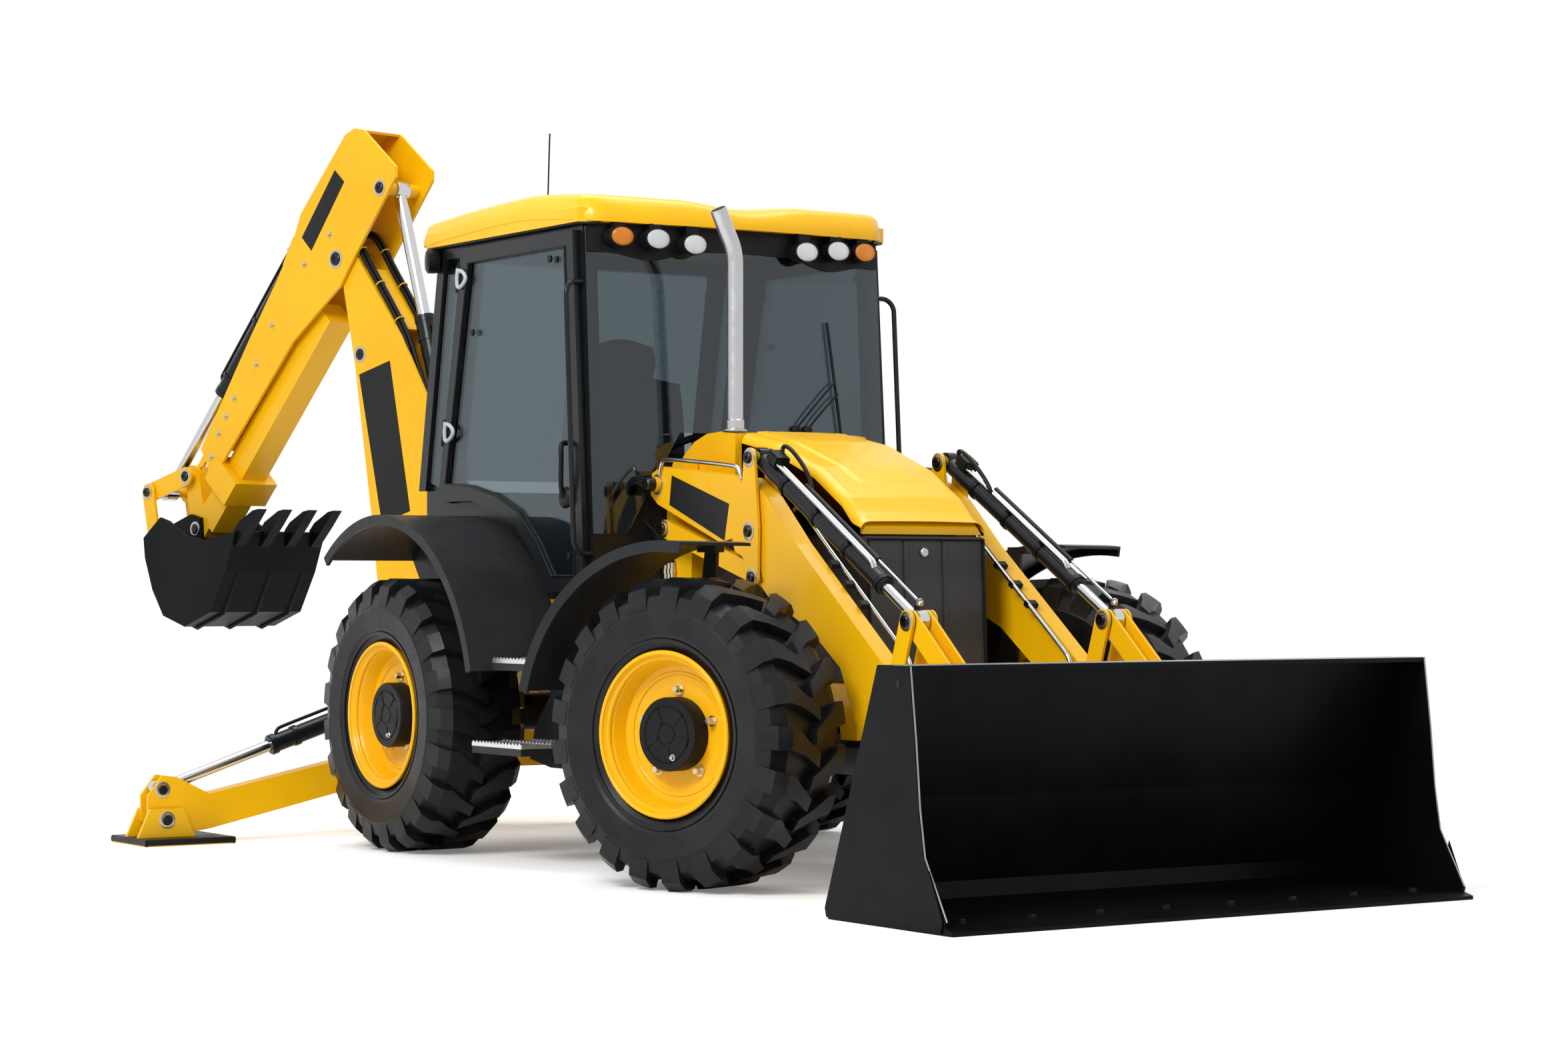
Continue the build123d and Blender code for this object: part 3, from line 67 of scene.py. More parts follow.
def hp(r, n, z):
    """Point of a digging arm plane: r behind the slew post, n to its left, z up."""
    c = cos(radians(SLEW_REST))
    s = sin(radians(SLEW_REST))
    return Vector(((REAR_AXLE_X + SLEW_X - c * r - s * n) / 1000, (-s * r + c * n) / 1000, z / 1000))


def side_points(y, rows):
    """Points of the side plane at y: rows are (x, z)."""
    return [sd(x, y, z) for x, z in rows]


def beside(sign, rows):
    """Points of one side: rows are (x, distance from the middle, z)."""
    return [sd(x, sign * y, z) for x, y, z in rows]


def arm_points(n, rows):
    """Points of the digging arm plane at n: rows are (r, z)."""
    return [hp(r, n, z) for r, z in rows]


HOE_N = (hp(0, 1, 0) - hp(0, 0, 0)).normalized()
UP = Vector((0, 0, 1))
AHEAD = Vector((1, 0, 0))
OUT = {"right": Vector((0, -1, 0)), "left": Vector((0, 1, 0))}
SIGN = {"right": -1, "left": 1}


# Materials
def set_inputs(node, values):
    for name, value in values.items():
        node.inputs[name].default_value = value
    return node


def add_node(tree, kind, values=None):
    """New shader node with the named inputs set."""
    return set_inputs(tree.nodes.new("ShaderNode" + kind), values or {})


def join(source, output, target, entry):
    """Link a node's output to another node's input."""
    source.id_data.links.new(source.outputs[output], target.inputs[entry])


def new_material(name, colour, roughness, metallic=0.0, coat=0.0, specular=0.5):
    """Material with a plain shader, its nodes and its shader node."""
    material = bpy.data.materials.new(name)
    material.use_nodes = True
    tree = material.node_tree
    shader = set_inputs(tree.nodes["Principled BSDF"], {
        "Base Color": (*colour, 1), "Roughness": roughness, "Metallic": metallic,
        "Coat Weight": coat, "Coat Roughness": 0.06, "Specular IOR Level": specular})
    return material, tree, shader


def object_noise(tree, scale, detail=4.0):
    noise = add_node(tree, "TexNoise", {"Scale": scale, "Detail": detail})
    join(add_node(tree, "TexCoord"), "Object", noise, "Vector")
    return noise


def vary_roughness(tree, shader, scale, low, high):
    """Roughness that drifts between low and high over the surface."""
    span = add_node(tree, "MapRange", {"From Min": 0.35, "From Max": 0.65, "To Min": low, "To Max": high})
    join(object_noise(tree, scale), "Fac", span, "Value")
    join(span, "Result", shader, "Roughness")


def add_ramp(tree, *stops):
    """Colour ramp with two stops of (position, colour)."""
    ramp = add_node(tree, "ValToRGB")
    for element, (position, colour) in zip(ramp.color_ramp.elements, stops):
        element.position = position
        element.color = (*colour, 1)
    return ramp


def vary_colour(tree, shader, scale, dark, light):
    """Base colour that drifts between dark and light over the surface."""
    ramp = add_ramp(tree, (0.4, dark), (0.6, light))
    join(object_noise(tree, scale), "Fac", ramp, "Fac")
    join(ramp, "Color", shader, "Base Color")


def bump(tree, source, output, shader, strength, distance):
    """Relief that follows one output of a texture node."""
    node = add_node(tree, "Bump", {"Strength": strength, "Distance": distance})
    join(source, output, node, "Height")
    join(node, "Normal", shader, "Normal")


def grain(tree, shader, scale, strength, distance):
    bump(tree, object_noise(tree, scale, 3.0), "Fac", shader, strength, distance)


def make_surface(name, colours, roughness, scales, relief, specular, coat=0.0, plain=None):
    """Surface that drifts between two colours and two roughnesses, with a fine grain.

    scales are those of the colour, the roughness and the grain, relief is the grain's strength and
    height, and plain is the (colour, roughness) kept under the textures.
    """
    colour, rough = plain or (colours[1], roughness[1])
    material, tree, shader = new_material(name, colour, rough, coat=coat, specular=specular)
    vary_colour(tree, shader, scales[0], *colours)
    vary_roughness(tree, shader, scales[1], *roughness)
    grain(tree, shader, scales[2], *relief)
    return material


def painted(name, dark, light, low, high, coat):
    return make_surface(name, (dark, light), (low, high), (1.7, 9.0, 260.0), (0.05, 0.0006), 0.22, coat)


def make_plastic(name, dark, light, low, high, strength):
    return make_surface(name, (dark, light), (low, high), (3.0, 14.0, 420.0), (strength, 0.0008), 0.16)


yellow = painted("yellow_paint", (0.84, 0.44, 0.002), (0.88, 0.48, 0.003), 0.28, 0.38, 0.18)
wheel_yellow = painted("wheel_yellow", (0.84, 0.42, 0.002), (0.88, 0.46, 0.003), 0.3, 0.4, 0.12)
black_paint = painted("black_paint", (0.006, 0.007, 0.008), (0.009, 0.010, 0.012), 0.22, 0.3, 0.06)
fender_plastic = make_plastic("black_plastic", (0.014, 0.0145, 0.016), (0.020, 0.021, 0.023), 0.36, 0.44,
                              0.12)
trim_black = make_plastic("trim_black", (0.004, 0.0045, 0.005), (0.007, 0.007, 0.008), 0.34, 0.46, 0.1)
hose_rubber = make_plastic("hose_rubber", (0.004, 0.004, 0.005), (0.008, 0.008, 0.009), 0.3, 0.4, 0.15)
seat_fabric = make_plastic("seat_fabric", (0.05, 0.055, 0.06), (0.08, 0.086, 0.092), 0.6, 0.75, 0.4)
decal_dark = make_plastic("decal_dark", (0.010, 0.0105, 0.012), (0.014, 0.0145, 0.016), 0.3, 0.38, 0.03)
hinge_grey = make_plastic("hinge_grey", (0.46, 0.47, 0.48), (0.54, 0.55, 0.56), 0.3, 0.4, 0.05)
tie_yellow = make_plastic("tie_yellow", (0.70, 0.45, 0.01), (0.80, 0.52, 0.02), 0.4, 0.5, 0.05)
tyre_rubber = make_surface("tyre_rubber", ((0.005, 0.0055, 0.0065), (0.010, 0.0106, 0.0125)), (0.30, 0.42),
                           (6.0, 16.0, 120.0), (0.2, 0.0015), 0.24, plain=((0.02, 0.021, 0.023), 0.6))
bucket_black = make_surface("bucket_black", ((0.0016, 0.0024, 0.0032), (0.0032, 0.004, 0.005)),
                            (0.34, 0.46), (2.2, 5.0, 60.0), (0.06, 0.0012), 0.09,
                            plain=((0.003, 0.004, 0.005), 0.4))


def make_metal(name, colour, low, high, scratch=0.0):
    material, tree, shader = new_material(name, colour, low, metallic=1.0)
    vary_roughness(tree, shader, 22.0, low, high)
    if scratch:
        grain(tree, shader, 180.0, scratch, 0.0004)
    return material


chrome = make_metal("bright_chrome", (0.60, 0.61, 0.62), 0.10, 0.18)
brushed = make_metal("brushed_steel", (0.50, 0.50, 0.51), 0.22, 0.34, 0.1)
pin_steel = make_metal("pin_steel", (0.10, 0.10, 0.105), 0.32, 0.46, 0.1)
bolt_steel = make_metal("bolt_steel", (0.62, 0.55, 0.40), 0.22, 0.34)
pin_black = make_metal("pin_black", (0.035, 0.035, 0.037), 0.28, 0.40, 0.05)
brushed_dark = make_metal("brushed_dark", (0.30, 0.30, 0.31), 0.26, 0.40, 0.1)
reflector = make_metal("reflector", (0.92, 0.93, 0.94), 0.1, 0.3, 0.9)
tread_steel = make_metal("tread_steel", (0.78, 0.79, 0.80), 0.26, 0.4, 0.2)


def make_glass(name, tint, gloss, edge):
    """Tinted pane: light passes dimmed, and the surface mirrors by gloss to edge as it turns away."""
    material = bpy.data.materials.new(name)
    material.use_nodes = True
    tree = material.node_tree
    tree.nodes.remove(tree.nodes["Principled BSDF"])
    through = add_node(tree, "BsdfTransparent", {"Color": (*tint, 1)})
    mirror = add_node(tree, "BsdfGlossy", {"Color": (0.75, 0.8, 0.83, 1), "Roughness": 0.03})
    share = add_node(tree, "MapRange", {"To Min": gloss, "To Max": edge})
    mix = add_node(tree, "MixShader")
    join(add_node(tree, "LayerWeight", {"Blend": 0.25}), "Fresnel", share, "Value")
    join(share, "Result", mix, "Fac")
    join(through, "BSDF", mix, 1)
    join(mirror, "BSDF", mix, 2)
    join(mix, "Shader", tree.nodes["Material Output"], "Surface")
    return material


def make_lens(name, colour):
    """Lamp glass with fine upright flutes."""
    material, tree, shader = new_material(name, colour, 0.08)
    set_inputs(shader, {"Transmission Weight": 0.55, "IOR": 1.45})
    wave = add_node(tree, "TexWave", {"Scale": 45.0})
    wave.bands_direction = "Y"
    join(add_node(tree, "TexCoord"), "Object", wave, "Vector")
    bump(tree, wave, "Fac", shader, 0.5, 0.002)
    return material


def make_grille():
    """Black plastic with rows of small round holes, which are not cut: their centres are painted near-black
    as the shade behind the grille.
    """
    material, tree, shader = new_material("grille_mesh", (0.02, 0.021, 0.023), 0.5)
    cells = add_node(tree, "TexVoronoi", {"Scale": 105.0, "Randomness": 0.0})
    # painted shade: the hole centres go near-black for the shade behind the grille, and the plastic between
    # them keeps its own colour
    holes = add_ramp(tree, (0.30, (0.001, 0.001, 0.001)), (0.38, (0.030, 0.031, 0.034)))
    join(add_node(tree, "TexCoord"), "Object", cells, "Vector")
    join(cells, "Distance", holes, "Fac")
    join(holes, "Color", shader, "Base Color")
    bump(tree, cells, "Distance", shader, 0.6, 0.002)
    return material


tinted_glass = make_glass("tinted_glass", (0.47, 0.52, 0.54), 0.05, 0.6)
lamp_glass = make_lens("lamp_glass", (0.88, 0.9, 0.92))
amber_glass = make_lens("amber_glass", (0.95, 0.30, 0.01))
grille_mesh = make_grille()

# Which material each CAD node wears
CAD_LOOKS = (
    (yellow, ("main_frame", "cab_roof", "bonnet", "loader_arms", "loader_levers", "level_links",
              "tip_levers", "tip_links", "kingpost", "boom", "dipper_outer", "dipper_inner", "hoe_lever",
              "hoe_link", "stabiliser_leg_right", "stabiliser_leg_left", "stabiliser_pad_right",
              "stabiliser_pad_left")),
    (black_paint, ("drive_line", "cab_frame", "crowd_barrels", "lift_barrels", "boom_ram_barrel",
                   "dipper_ram_barrel", "hoe_ram_barrel", "stabiliser_barrel_right",
                   "stabiliser_barrel_left", "door_right", "door_left")),
    (bucket_black, ("loader_bucket", "hoe_bucket")),
    (wheel_yellow, ("rim_front_right", "rim_front_left", "rim_rear_right", "rim_rear_left")),
    (tyre_rubber, ("tyre_front_right", "tyre_front_left", "tyre_rear_right", "tyre_rear_left")),
    (fender_plastic, ("fenders_and_steps", "knuckle_right", "knuckle_left")),
    (grille_mesh, ("front_grille",)),
    (trim_black, ("roof_lamps", "cab_interior")),
    (chrome, ("crowd_rods", "lift_rods", "boom_ram_rod", "dipper_ram_rod", "hoe_ram_rod",
              "stabiliser_rod_right", "stabiliser_rod_left")),
    (brushed, ("exhaust_stack",)),
    (pin_steel, ("crowd_pins", "tip_pins", "link_pins", "bucket_pins")),
    (tinted_glass, ("cab_glass", "door_glass_right", "door_glass_left")),
)
for material, names in CAD_LOOKS:
    for name in names:
        mesh = nodes[name].data
        mesh.materials.clear()
        mesh.materials.append(material)


# Mesh tools
def add_piece(name, mesh, body, material):
    """Piece that rides with a body. Blender may have put .001 after the material's name."""
    piece = bpy.data.objects.new(name, mesh)
    scene.collection.objects.link(piece)
    mesh.materials.append(material)
    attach(piece, body)
    return piece


def mesh_from(bm, name, smooth_angle=35):
    bmesh.ops.recalc_face_normals(bm, faces=bm.faces)
    mesh = bpy.data.meshes.new(name)
    bm.to_mesh(mesh)
    bm.free()
    mesh.shade_smooth()
    mesh.set_sharp_from_angle(angle=radians(smooth_angle))
    return mesh


def add_prism(bm, corners, thickness, bevel=0.0):
    """Prism on the corners, grown by the thickness vector, its edges eased by bevel."""
    low = [bm.verts.new(p) for p in corners]
    high = [bm.verts.new(Vector(p) + thickness) for p in corners]
    faces = [bm.faces.new(low), bm.faces.new(reversed(high))]
    for i in range(len(low)):
        j = (i + 1) % len(low)
        faces.append(bm.faces.new((low[j], low[i], high[i], high[j])))
    if bevel:
        edges = {e for f in faces for e in f.edges}
        bmesh.ops.bevel(bm, geom=list(edges), offset=bevel, segments=2, affect="EDGES")


def add_lathe(bm, profile, origin, axis, segments=24, squash=1.0):
    """Turned shape: profile rows are (radius, height along the axis). Squash flattens it in height."""
    axis = Vector(axis).normalized()
    u = axis.cross(UP if abs(axis.z) < 0.9 else AHEAD).normalized()
    v = axis.cross(u) * squash
    rings = []
    for r, h in profile:
        centre = Vector(origin) + axis * h
        if r < 1e-6:
            rings.append([bm.verts.new(centre)])
            continue
        rings.append([bm.verts.new(centre + (u * cos(2 * pi * i / segments)
                                             + v * sin(2 * pi * i / segments)) * r)
                      for i in range(segments)])
    for a, b in zip(rings, rings[1:]):
        for i in range(segments):
            j = (i + 1) % segments
            corners = [a[0]] if len(a) == 1 else [a[i], a[j]]
            corners += [b[0]] if len(b) == 1 else [b[j], b[i]]
            if len(corners) > 2:
                bm.faces.new(corners)


def disc(radius, height):
    return (0, 0), (radius, 0), (radius, height), (0, height)


def hoop(inner, outer, low, high):
    return (inner, low), (outer, low), (outer, high), (inner, high), (inner, low)


def add_hex(bm, origin, axis, radius, height):
    """Hexagon bolt head with an eased top on a round washer."""
    washer = height * 0.2
    add_lathe(bm, disc(radius * 1.45, washer), origin, axis, 16)
    base = Vector(origin) + Vector(axis).normalized() * washer
    add_lathe(bm, ((0, 0), (radius, 0), (radius, height * 0.75), (radius * 0.86, height * 0.9),
                   (0, height * 0.9)), base, axis, 6)


def prisms(name, rows, body, material, bevel=0.002):
    """One piece of several prisms: rows are (corners, thickness vector)."""
    bm = bmesh.new()
    for corners, thickness in rows:
        add_prism(bm, corners, thickness, bevel)
    add_piece(name, mesh_from(bm, name), body, material)


def lathes(name, profile, places, body, material, segments=24):
    """One piece of several like turned shapes: places are (origin, axis)."""
    bm = bmesh.new()
    for origin, axis in places:
        add_lathe(bm, profile, origin, axis, segments)
    add_piece(name, mesh_from(bm, name), body, material)


def bolts(name, places, radius, height, body, material):
    """One piece of several bolt heads: places are (origin, axis)."""
    bm = bmesh.new()
    for origin, axis in places:
        add_hex(bm, origin, axis, radius, height)
    add_piece(name, mesh_from(bm, name), body, material)


def tube(name, routes, radius, body, material, straight=False):
    """Round bars or hoses of one radius along routes of points."""
    curve = bpy.data.curves.new(name, "CURVE")
    curve.dimensions = "3D"
    curve.bevel_depth = radius
    curve.bevel_resolution = 4
    curve.use_fill_caps = True
    for route in routes:
        spline = curve.splines.new("POLY" if straight else "NURBS")
        spline.points.add(len(route) - 1)
        for point, place in zip(spline.points, route):
            point.co = (*place, 1)
        if not straight:
            spline.use_endpoint_u = True
            spline.order_u = 3
            spline.resolution_u = 8
    holder = bpy.data.objects.new(name + "_path", curve)
    mesh = bpy.data.meshes.new_from_object(holder)
    bpy.data.objects.remove(holder)
    mesh.name = name
    mesh.shade_smooth()
    mesh.set_sharp_from_angle(angle=radians(50))
    add_piece(name, mesh, body, material)


# Wheels: hub covers, nuts, rim and sidewall rings
def wheel_frame(where, side_name):
    """Centre and outward direction of a wheel."""
    sign = SIGN[side_name]
    if where == "rear":
        return sd(0, sign * TRACK_HALF, WHEEL_R), OUT[side_name]
    a = radians(STEER_REST)
    reach = TRACK_HALF - KINGPIN_Y
    centre = sd(WHEELBASE - sign * reach * sin(a), sign * (KINGPIN_Y + reach * cos(a)), WHEEL_R)
    return centre, Vector((-sign * sin(a), sign * cos(a), 0))


COVER_BACK = 0.0815  # of the hub cover, inboard of the hub's face
LOBE_FOOT = 0.086  # of the cover's lobes, outboard of its back
NUT_FACE = 0.0975  # of the rim under the nuts, outboard of the wheel's middle
NUT_CIRCLE = 0.172
HUB_COVER = ((0, 0), (0.138, 0), (0.142, 0.004), (0.142, 0.086), (0.138, 0.092), (0.112, 0.0925),
             (0.110, 0.089), (0.104, 0.089), (0.102, 0.0925), (0.046, 0.0925), (0.044, 0.089),
             (0.036, 0.089), (0.034, 0.0925), (0, 0.0925))
# (radius, distance outboard of the wheel's middle) of the rings on a rim and on a tyre's two faces
RIM_RINGS = {
    "rim_lip": ((0.305, 0.196), (0.305, 0.203), (0.309, 0.2065), (0.3165, 0.2065), (0.3205, 0.203),
                (0.3205, 0.196), (0.305, 0.196)),
    "rim_bead": ((0.297, 0.186), (0.288, 0.185), (0.2845, 0.179), (0.2855, 0.171), (0.289, 0.168),
                 (0.297, 0.186)),
    "rim_ridge": ((0.226, 0.098), (0.226, 0.107), (0.230, 0.110), (0.238, 0.110), (0.242, 0.107),
                  (0.242, 0.098), (0.226, 0.098)),
}
TYRE_RINGS = {
    "sidewall_rings": ((0.352, 0.200), (0.352, 0.2065), (0.358, 0.2095), (0.366, 0.211), (0.366, 0.200),
                       (0.352, 0.200)),
    "shoulder_rings": ((0.450, 0.205), (0.450, 0.2185), (0.4545, 0.2205), (0.459, 0.2185),
                       (0.459, 0.205), (0.450, 0.205)),
}
for where in ("front", "rear"):
    for side_name in ("right", "left"):
        wheel = f"{where}_{side_name}"
        body = f"wheel_{wheel}"
        centre, outward = wheel_frame(where, side_name)
        across = UP.cross(outward)
        start = centre + outward * (HUB_FACE / 1000 - COVER_BACK)
        face = start + outward * LOBE_FOOT
        lathes(f"hub_cover_{wheel}", HUB_COVER, [(start, outward)], body, trim_black, 48)
        lobes = []
        places = []
        for i in range(5):
            a = radians(54 + 72 * i)
            ray, turn = across * cos(a) + UP * sin(a), UP * cos(a) - across * sin(a)
            lobes.append(([face + ray * reach + turn * half for reach, half in
                           ((0.048, -0.012), (0.108, -0.022), (0.108, 0.022), (0.048, 0.012))],
                          outward * 0.009))
            a = radians(18 + 72 * i)
            ray = across * cos(a) + UP * sin(a)
            places.append((centre + outward * NUT_FACE + ray * NUT_CIRCLE, outward))
        prisms(f"hub_lobes_{wheel}", lobes, body, trim_black, 0.003)
        for ring_name, ring in RIM_RINGS.items():
            lathes(f"{ring_name}_{wheel}", ring, [(centre, outward)], body, wheel_yellow, 72)
        for ring_name, ring in TYRE_RINGS.items():
            lathes(f"{ring_name}_{wheel}", ring, [(centre, outward), (centre, -outward)], body,
                   tyre_rubber, 72)
        bolts(f"wheel_nuts_{wheel}", places, 0.015, 0.03, body, bolt_steel)
        bolts(f"hub_plug_{wheel}", [(start + outward * 0.092 - UP * 0.088 + across * 0.03, outward)],
              0.009, 0.012, body, brushed)

# Door seals, hinges, latches, grips and stops
WINDOW = ((-125, 1625), (85, 2600), (935, 2600), (1020, 1387), (1025, 1212), (830, 1212),
          (705, 1358), (535, 1495), (340, 1566), (100, 1612))
HINGE = ((-34, 48), (-44, 0), (-34, -48), (38, -16), (38, 16), (-34, 48), (-44, 0))
GRIP = ((968, 812, 1540), (972, 826, 1580), (985, 830, 1700), (978, 828, 1762), (972, 812, 1770),
        (972, 788, 1770))
LATCH = ((0, 0), (0.042, 0), (0.046, 0.006), (0.046, 0.016), (0.038, 0.024), (0.02, 0.026), (0, 0.026))
DOOR_STOP = ((0, 0), (0.016, 0), (0.016, 0.008), (0.012, 0.011), (0, 0.011))


def grown(outline, by):
    """Outline moved outward by that many millimetres, from its middle."""
    cx = sum(p[0] for p in outline) / len(outline)
    cz = sum(p[1] for p in outline) / len(outline)
    rows = []
    for x, z in outline:
        reach = ((x - cx) ** 2 + (z - cz) ** 2) ** 0.5
        rows.append((cx + (x - cx) * (1 + by / reach), cz + (z - cz) * (1 + by / reach)))
    return rows


for side_name, sign in SIGN.items():
    door = f"door_{side_name}"
    outward = OUT[side_name]
    seal = side_points(sign * (DOOR_FACE + 0.5), grown(WINDOW, 4))
    tube(f"door_seal_{side_name}", [seal + seal[:2]], 0.006, door, trim_black, straight=True)
    plates = [side_points(sign * (DOOR_FACE + 9), [(x + dx, z + dz) for dx, dz in HINGE])
              for x, z in ((34, 2537), (-81, 1855))]
    tube(f"door_hinge_{side_name}", plates, 0.009, door, hinge_grey)
    lathes(f"door_latch_{side_name}", LATCH, [(sd(968, sign * DOOR_FACE, 1540), outward)], door,
           trim_black, 32)
    tube(f"door_grip_{side_name}", [beside(sign, GRIP)], 0.011, door, trim_black)
    stops = side_points(sign * DOOR_FACE, ((130, 2290), (820, 2560), (985, 1290)))
    lathes(f"door_stop_{side_name}", DOOR_STOP, [(stop, outward) for stop in stops], door, trim_black, 20)

# Lamps: white pairs and an amber one at each side of the roof, as (y, z, x, half width, kind)
LAMPS = ((-624, 2650, 1080, 60, "amber"), (-463, 2645, 1106, 62, "white"),
         (-287, 2630, 1120, 62, "white"), (287, 2630, 1120, 62, "white"),
         (463, 2645, 1106, 62, "white"), (624, 2650, 1080, 60, "amber"))
LAMP_SQUASH = 0.72  # height of a lamp over its width

for kind, lens_glass in (("white", lamp_glass), ("amber", amber_glass)):
    lens = bmesh.new()
    bowl = bmesh.new()
    ring = bmesh.new()
    for y, z, x, radius, shade in LAMPS:
        if shade != kind:
            continue
        face = sd(x + 50, y, z - 10)
        r = radius / 1000
        for bm, profile in (
                (bowl, ((r * 0.9, 0.001), (r * 0.5, 0.001), (0, 0.0005))),
                (lens, ((r * 0.93, 0.002), (r * 0.93, 0.010), (r * 0.86, 0.014), (r * 0.5, 0.019),
                        (0, 0.021))),
                (ring, ((r, -0.004), (r * 1.03, 0.004), (r, 0.014), (r * 0.92, 0.014),
                        (r * 0.92, 0.002)))):
            add_lathe(bm, profile, face, AHEAD, 32, LAMP_SQUASH)
    for what, bm, look in (("lens", lens, lens_glass), ("bowl", bowl, reflector), ("ring", ring, trim_black)):
        name = f"lamp_{what}_{kind}"
        add_piece(name, mesh_from(bm, name), "chassis", look)


# Visor behind the lamps, wipers, aerial, quarter glass, rear lamps and roof seals
def screen_x(y, z):
    """Where the windscreen's outer face stands, ahead of the rear axle."""
    return 1192 - y * y / 7799 - (z - 1320) * 90 / 1560


def add_sheet(name, rows, thickness, body, material, smooth_angle=35):
    """Closed sheet on rows of points, thickened along the vector."""
    bm = bmesh.new()
    grid = [[bm.verts.new(p) for p in row] for row in rows]
    back = [[bm.verts.new(Vector(p) + thickness) for p in row] for row in rows]
    for sheet in (grid, back):
        for a, b in zip(sheet, sheet[1:]):
            for i in range(len(a) - 1):
                bm.faces.new((a[i], a[i + 1], b[i + 1], b[i]))
    n, m = len(grid), len(grid[0])
    border = [(i, 0) for i in range(n)] + [(n - 1, j) for j in range(1, m)]
    border += [(i, m - 1) for i in range(n - 2, -1, -1)] + [(0, j) for j in range(m - 2, 0, -1)]
    for (a, b), (c, d) in zip(border, border[1:] + border[:1]):
        bm.faces.new((grid[a][b], grid[c][d], back[c][d], back[a][b]))
    add_piece(name, mesh_from(bm, name, smooth_angle), body, material)


VISOR_HALF = 744
VISOR_TOP = 2698
rows = []
for i in range(49):
    y = -VISOR_HALF + 31 * i
    low = 2588 - 34 * max(0.0, cos(radians(abs(abs(y) - 450) * 0.42))) ** 2 + 12 * cos(radians(y / 4))
    rows.append([sd(screen_x(y, z) + 3, y, z) for z in (low, (low + VISOR_TOP) / 2, VISOR_TOP)])
add_sheet("lamp_visor", rows, AHEAD * 0.006, "chassis", trim_black)


def on_screen(y, z, off=14):
    return sd(screen_x(y, z) + off, y, z)


tube("wiper_blade", [[on_screen(428, 2322), on_screen(448, 2150, 17), on_screen(478, 1910, 17),
                      on_screen(493, 1790)]], 0.007, "chassis", trim_black)
tube("wiper_arms", [[on_screen(236, 1845), on_screen(250, 1870, 26), on_screen(452, 2060, 26),
                     on_screen(462, 2060, 20)],
                    [on_screen(300, 1845), on_screen(310, 1868, 26), on_screen(470, 2010, 26),
                     on_screen(474, 2005, 20)]], 0.005, "chassis", trim_black)
lathes("wiper_pivots", ((0, -0.004), (0.022, -0.004), (0.022, 0.016), (0.014, 0.024), (0, 0.024)),
       [(on_screen(y, 1842, 4), AHEAD) for y in (236, 300)], "chassis", trim_black)
tube("aerial_whip", [[sd(392, -560, 2835), sd(397, -560, 2960), sd(410, -560, 3160)]], 0.0035, "chassis",
     trim_black)
lathes("aerial_base", ((0, 0), (0.024, 0), (0.024, 0.010), (0.012, 0.020), (0.009, 0.024), (0.011, 0.028),
                       (0.009, 0.034), (0.011, 0.040), (0.009, 0.046), (0.011, 0.052), (0.006, 0.070),
                       (0, 0.070)), [(sd(392, -560, 2815), UP)], "chassis", trim_black)
for side_name, sign in SIGN.items():
    pane = side_points(sign * 738, ((-210, 1595), (-372, 1640), (-232, 2645), (-2, 2645)))
    prisms(f"quarter_glass_{side_name}", [(pane, OUT[side_name] * 0.005)], "chassis", tinted_glass, bevel=0)
    lathes(f"rear_lamp_{side_name}", ((0, 0), (0.052, 0), (0.056, 0.02), (0.056, 0.05), (0.044, 0.058),
                                      (0, 0.058)),
           [(sd(-262, sign * 755, 2640), Vector((-0.35, sign, 0)))], "chassis", trim_black, 32)
    tube(f"roof_seal_{side_name}", [beside(sign, ((-395, 742, 2696), (-60, 782, 2696), (1040, 782, 2696),
                                                  (1090, 700, 2696)))],
         0.006, "chassis", trim_black, straight=True)


# Roof skin with its two humps over the lamps
def roof_z(x, y):
    u = (x + 400) / 1520
    z = 2812 + 26 * sin(pi * min(1.0, max(0.0, u * 0.92 + 0.06))) - 40 * max(0.0, u - 0.62) ** 1.2 * 2
    hump = 26 * (1 - cos(pi * min(1.0, abs(y) / 330))) / 2 * min(1.0, max(0.15, (x + 500) / 1100))
    return z + hump


ROOF_HALF = 792
ROOF_REAR = -406
ROOF_FRONT = 1178  # on the middle line
ROOF_FOOT = 2724
ROOF_CORNER = 102  # width of a corner's round in plan
ROOF_ROUND = 95  # width of the rounded edge
ROOF_DROP = 88  # height of the rounded edge
rows = []
for i in range(65):
    y = -ROOF_HALF + 2 * ROOF_HALF * i / 64
    row = []
    front = ROOF_FRONT - y * y / 7000
    inset = 70 * max(0.0, (abs(y) - ROOF_HALF + ROOF_CORNER) / ROOF_CORNER) ** 2
    for j in range(57):
        x = ROOF_REAR + inset + (front - inset - ROOF_REAR - inset) * j / 56
        edge = min(ROOF_HALF - abs(y), x - ROOF_REAR - inset, front - inset - x)
        t = min(1.0, max(0.0, edge / ROOF_ROUND))
        drop = (1 - (1 - (1 - t) ** 2.4) ** 0.5) * ROOF_DROP
        row.append(sd(x, y, max(roof_z(x, y) - drop, ROOF_FOOT)))
    rows.append(row)
add_sheet("roof_skin", rows, UP * -0.026, "chassis", yellow, 60)

# Bonnet skin: rounded shoulders and a raised middle panel
HOOD_REAR = 1568
HOOD_FRONT = 2426
HOOD_HALF = 303.5
HOOD_ROUND = 40  # radius of the shoulders
RAISED_FRONT = 2205  # of the raised panel
RAISED_RAMP = 14  # width of its sloped border
RAISED_BY = 7
HOOD = ((1562, 1800), (1800, 1753), (2100, 1641), (2300, 1521), (2424, 1402))


def hood_z(x):
    for (x0, z0), (x1, z1) in zip(HOOD, HOOD[1:]):
        if x <= x1:
            return z0 + (z1 - z0) * (x - x0) / (x1 - x0)
    return HOOD[-1][1]


def smooth_hood(x):
    return sum(hood_z(x + d) for d in (-60, -30, 0, 30, 60)) / 5


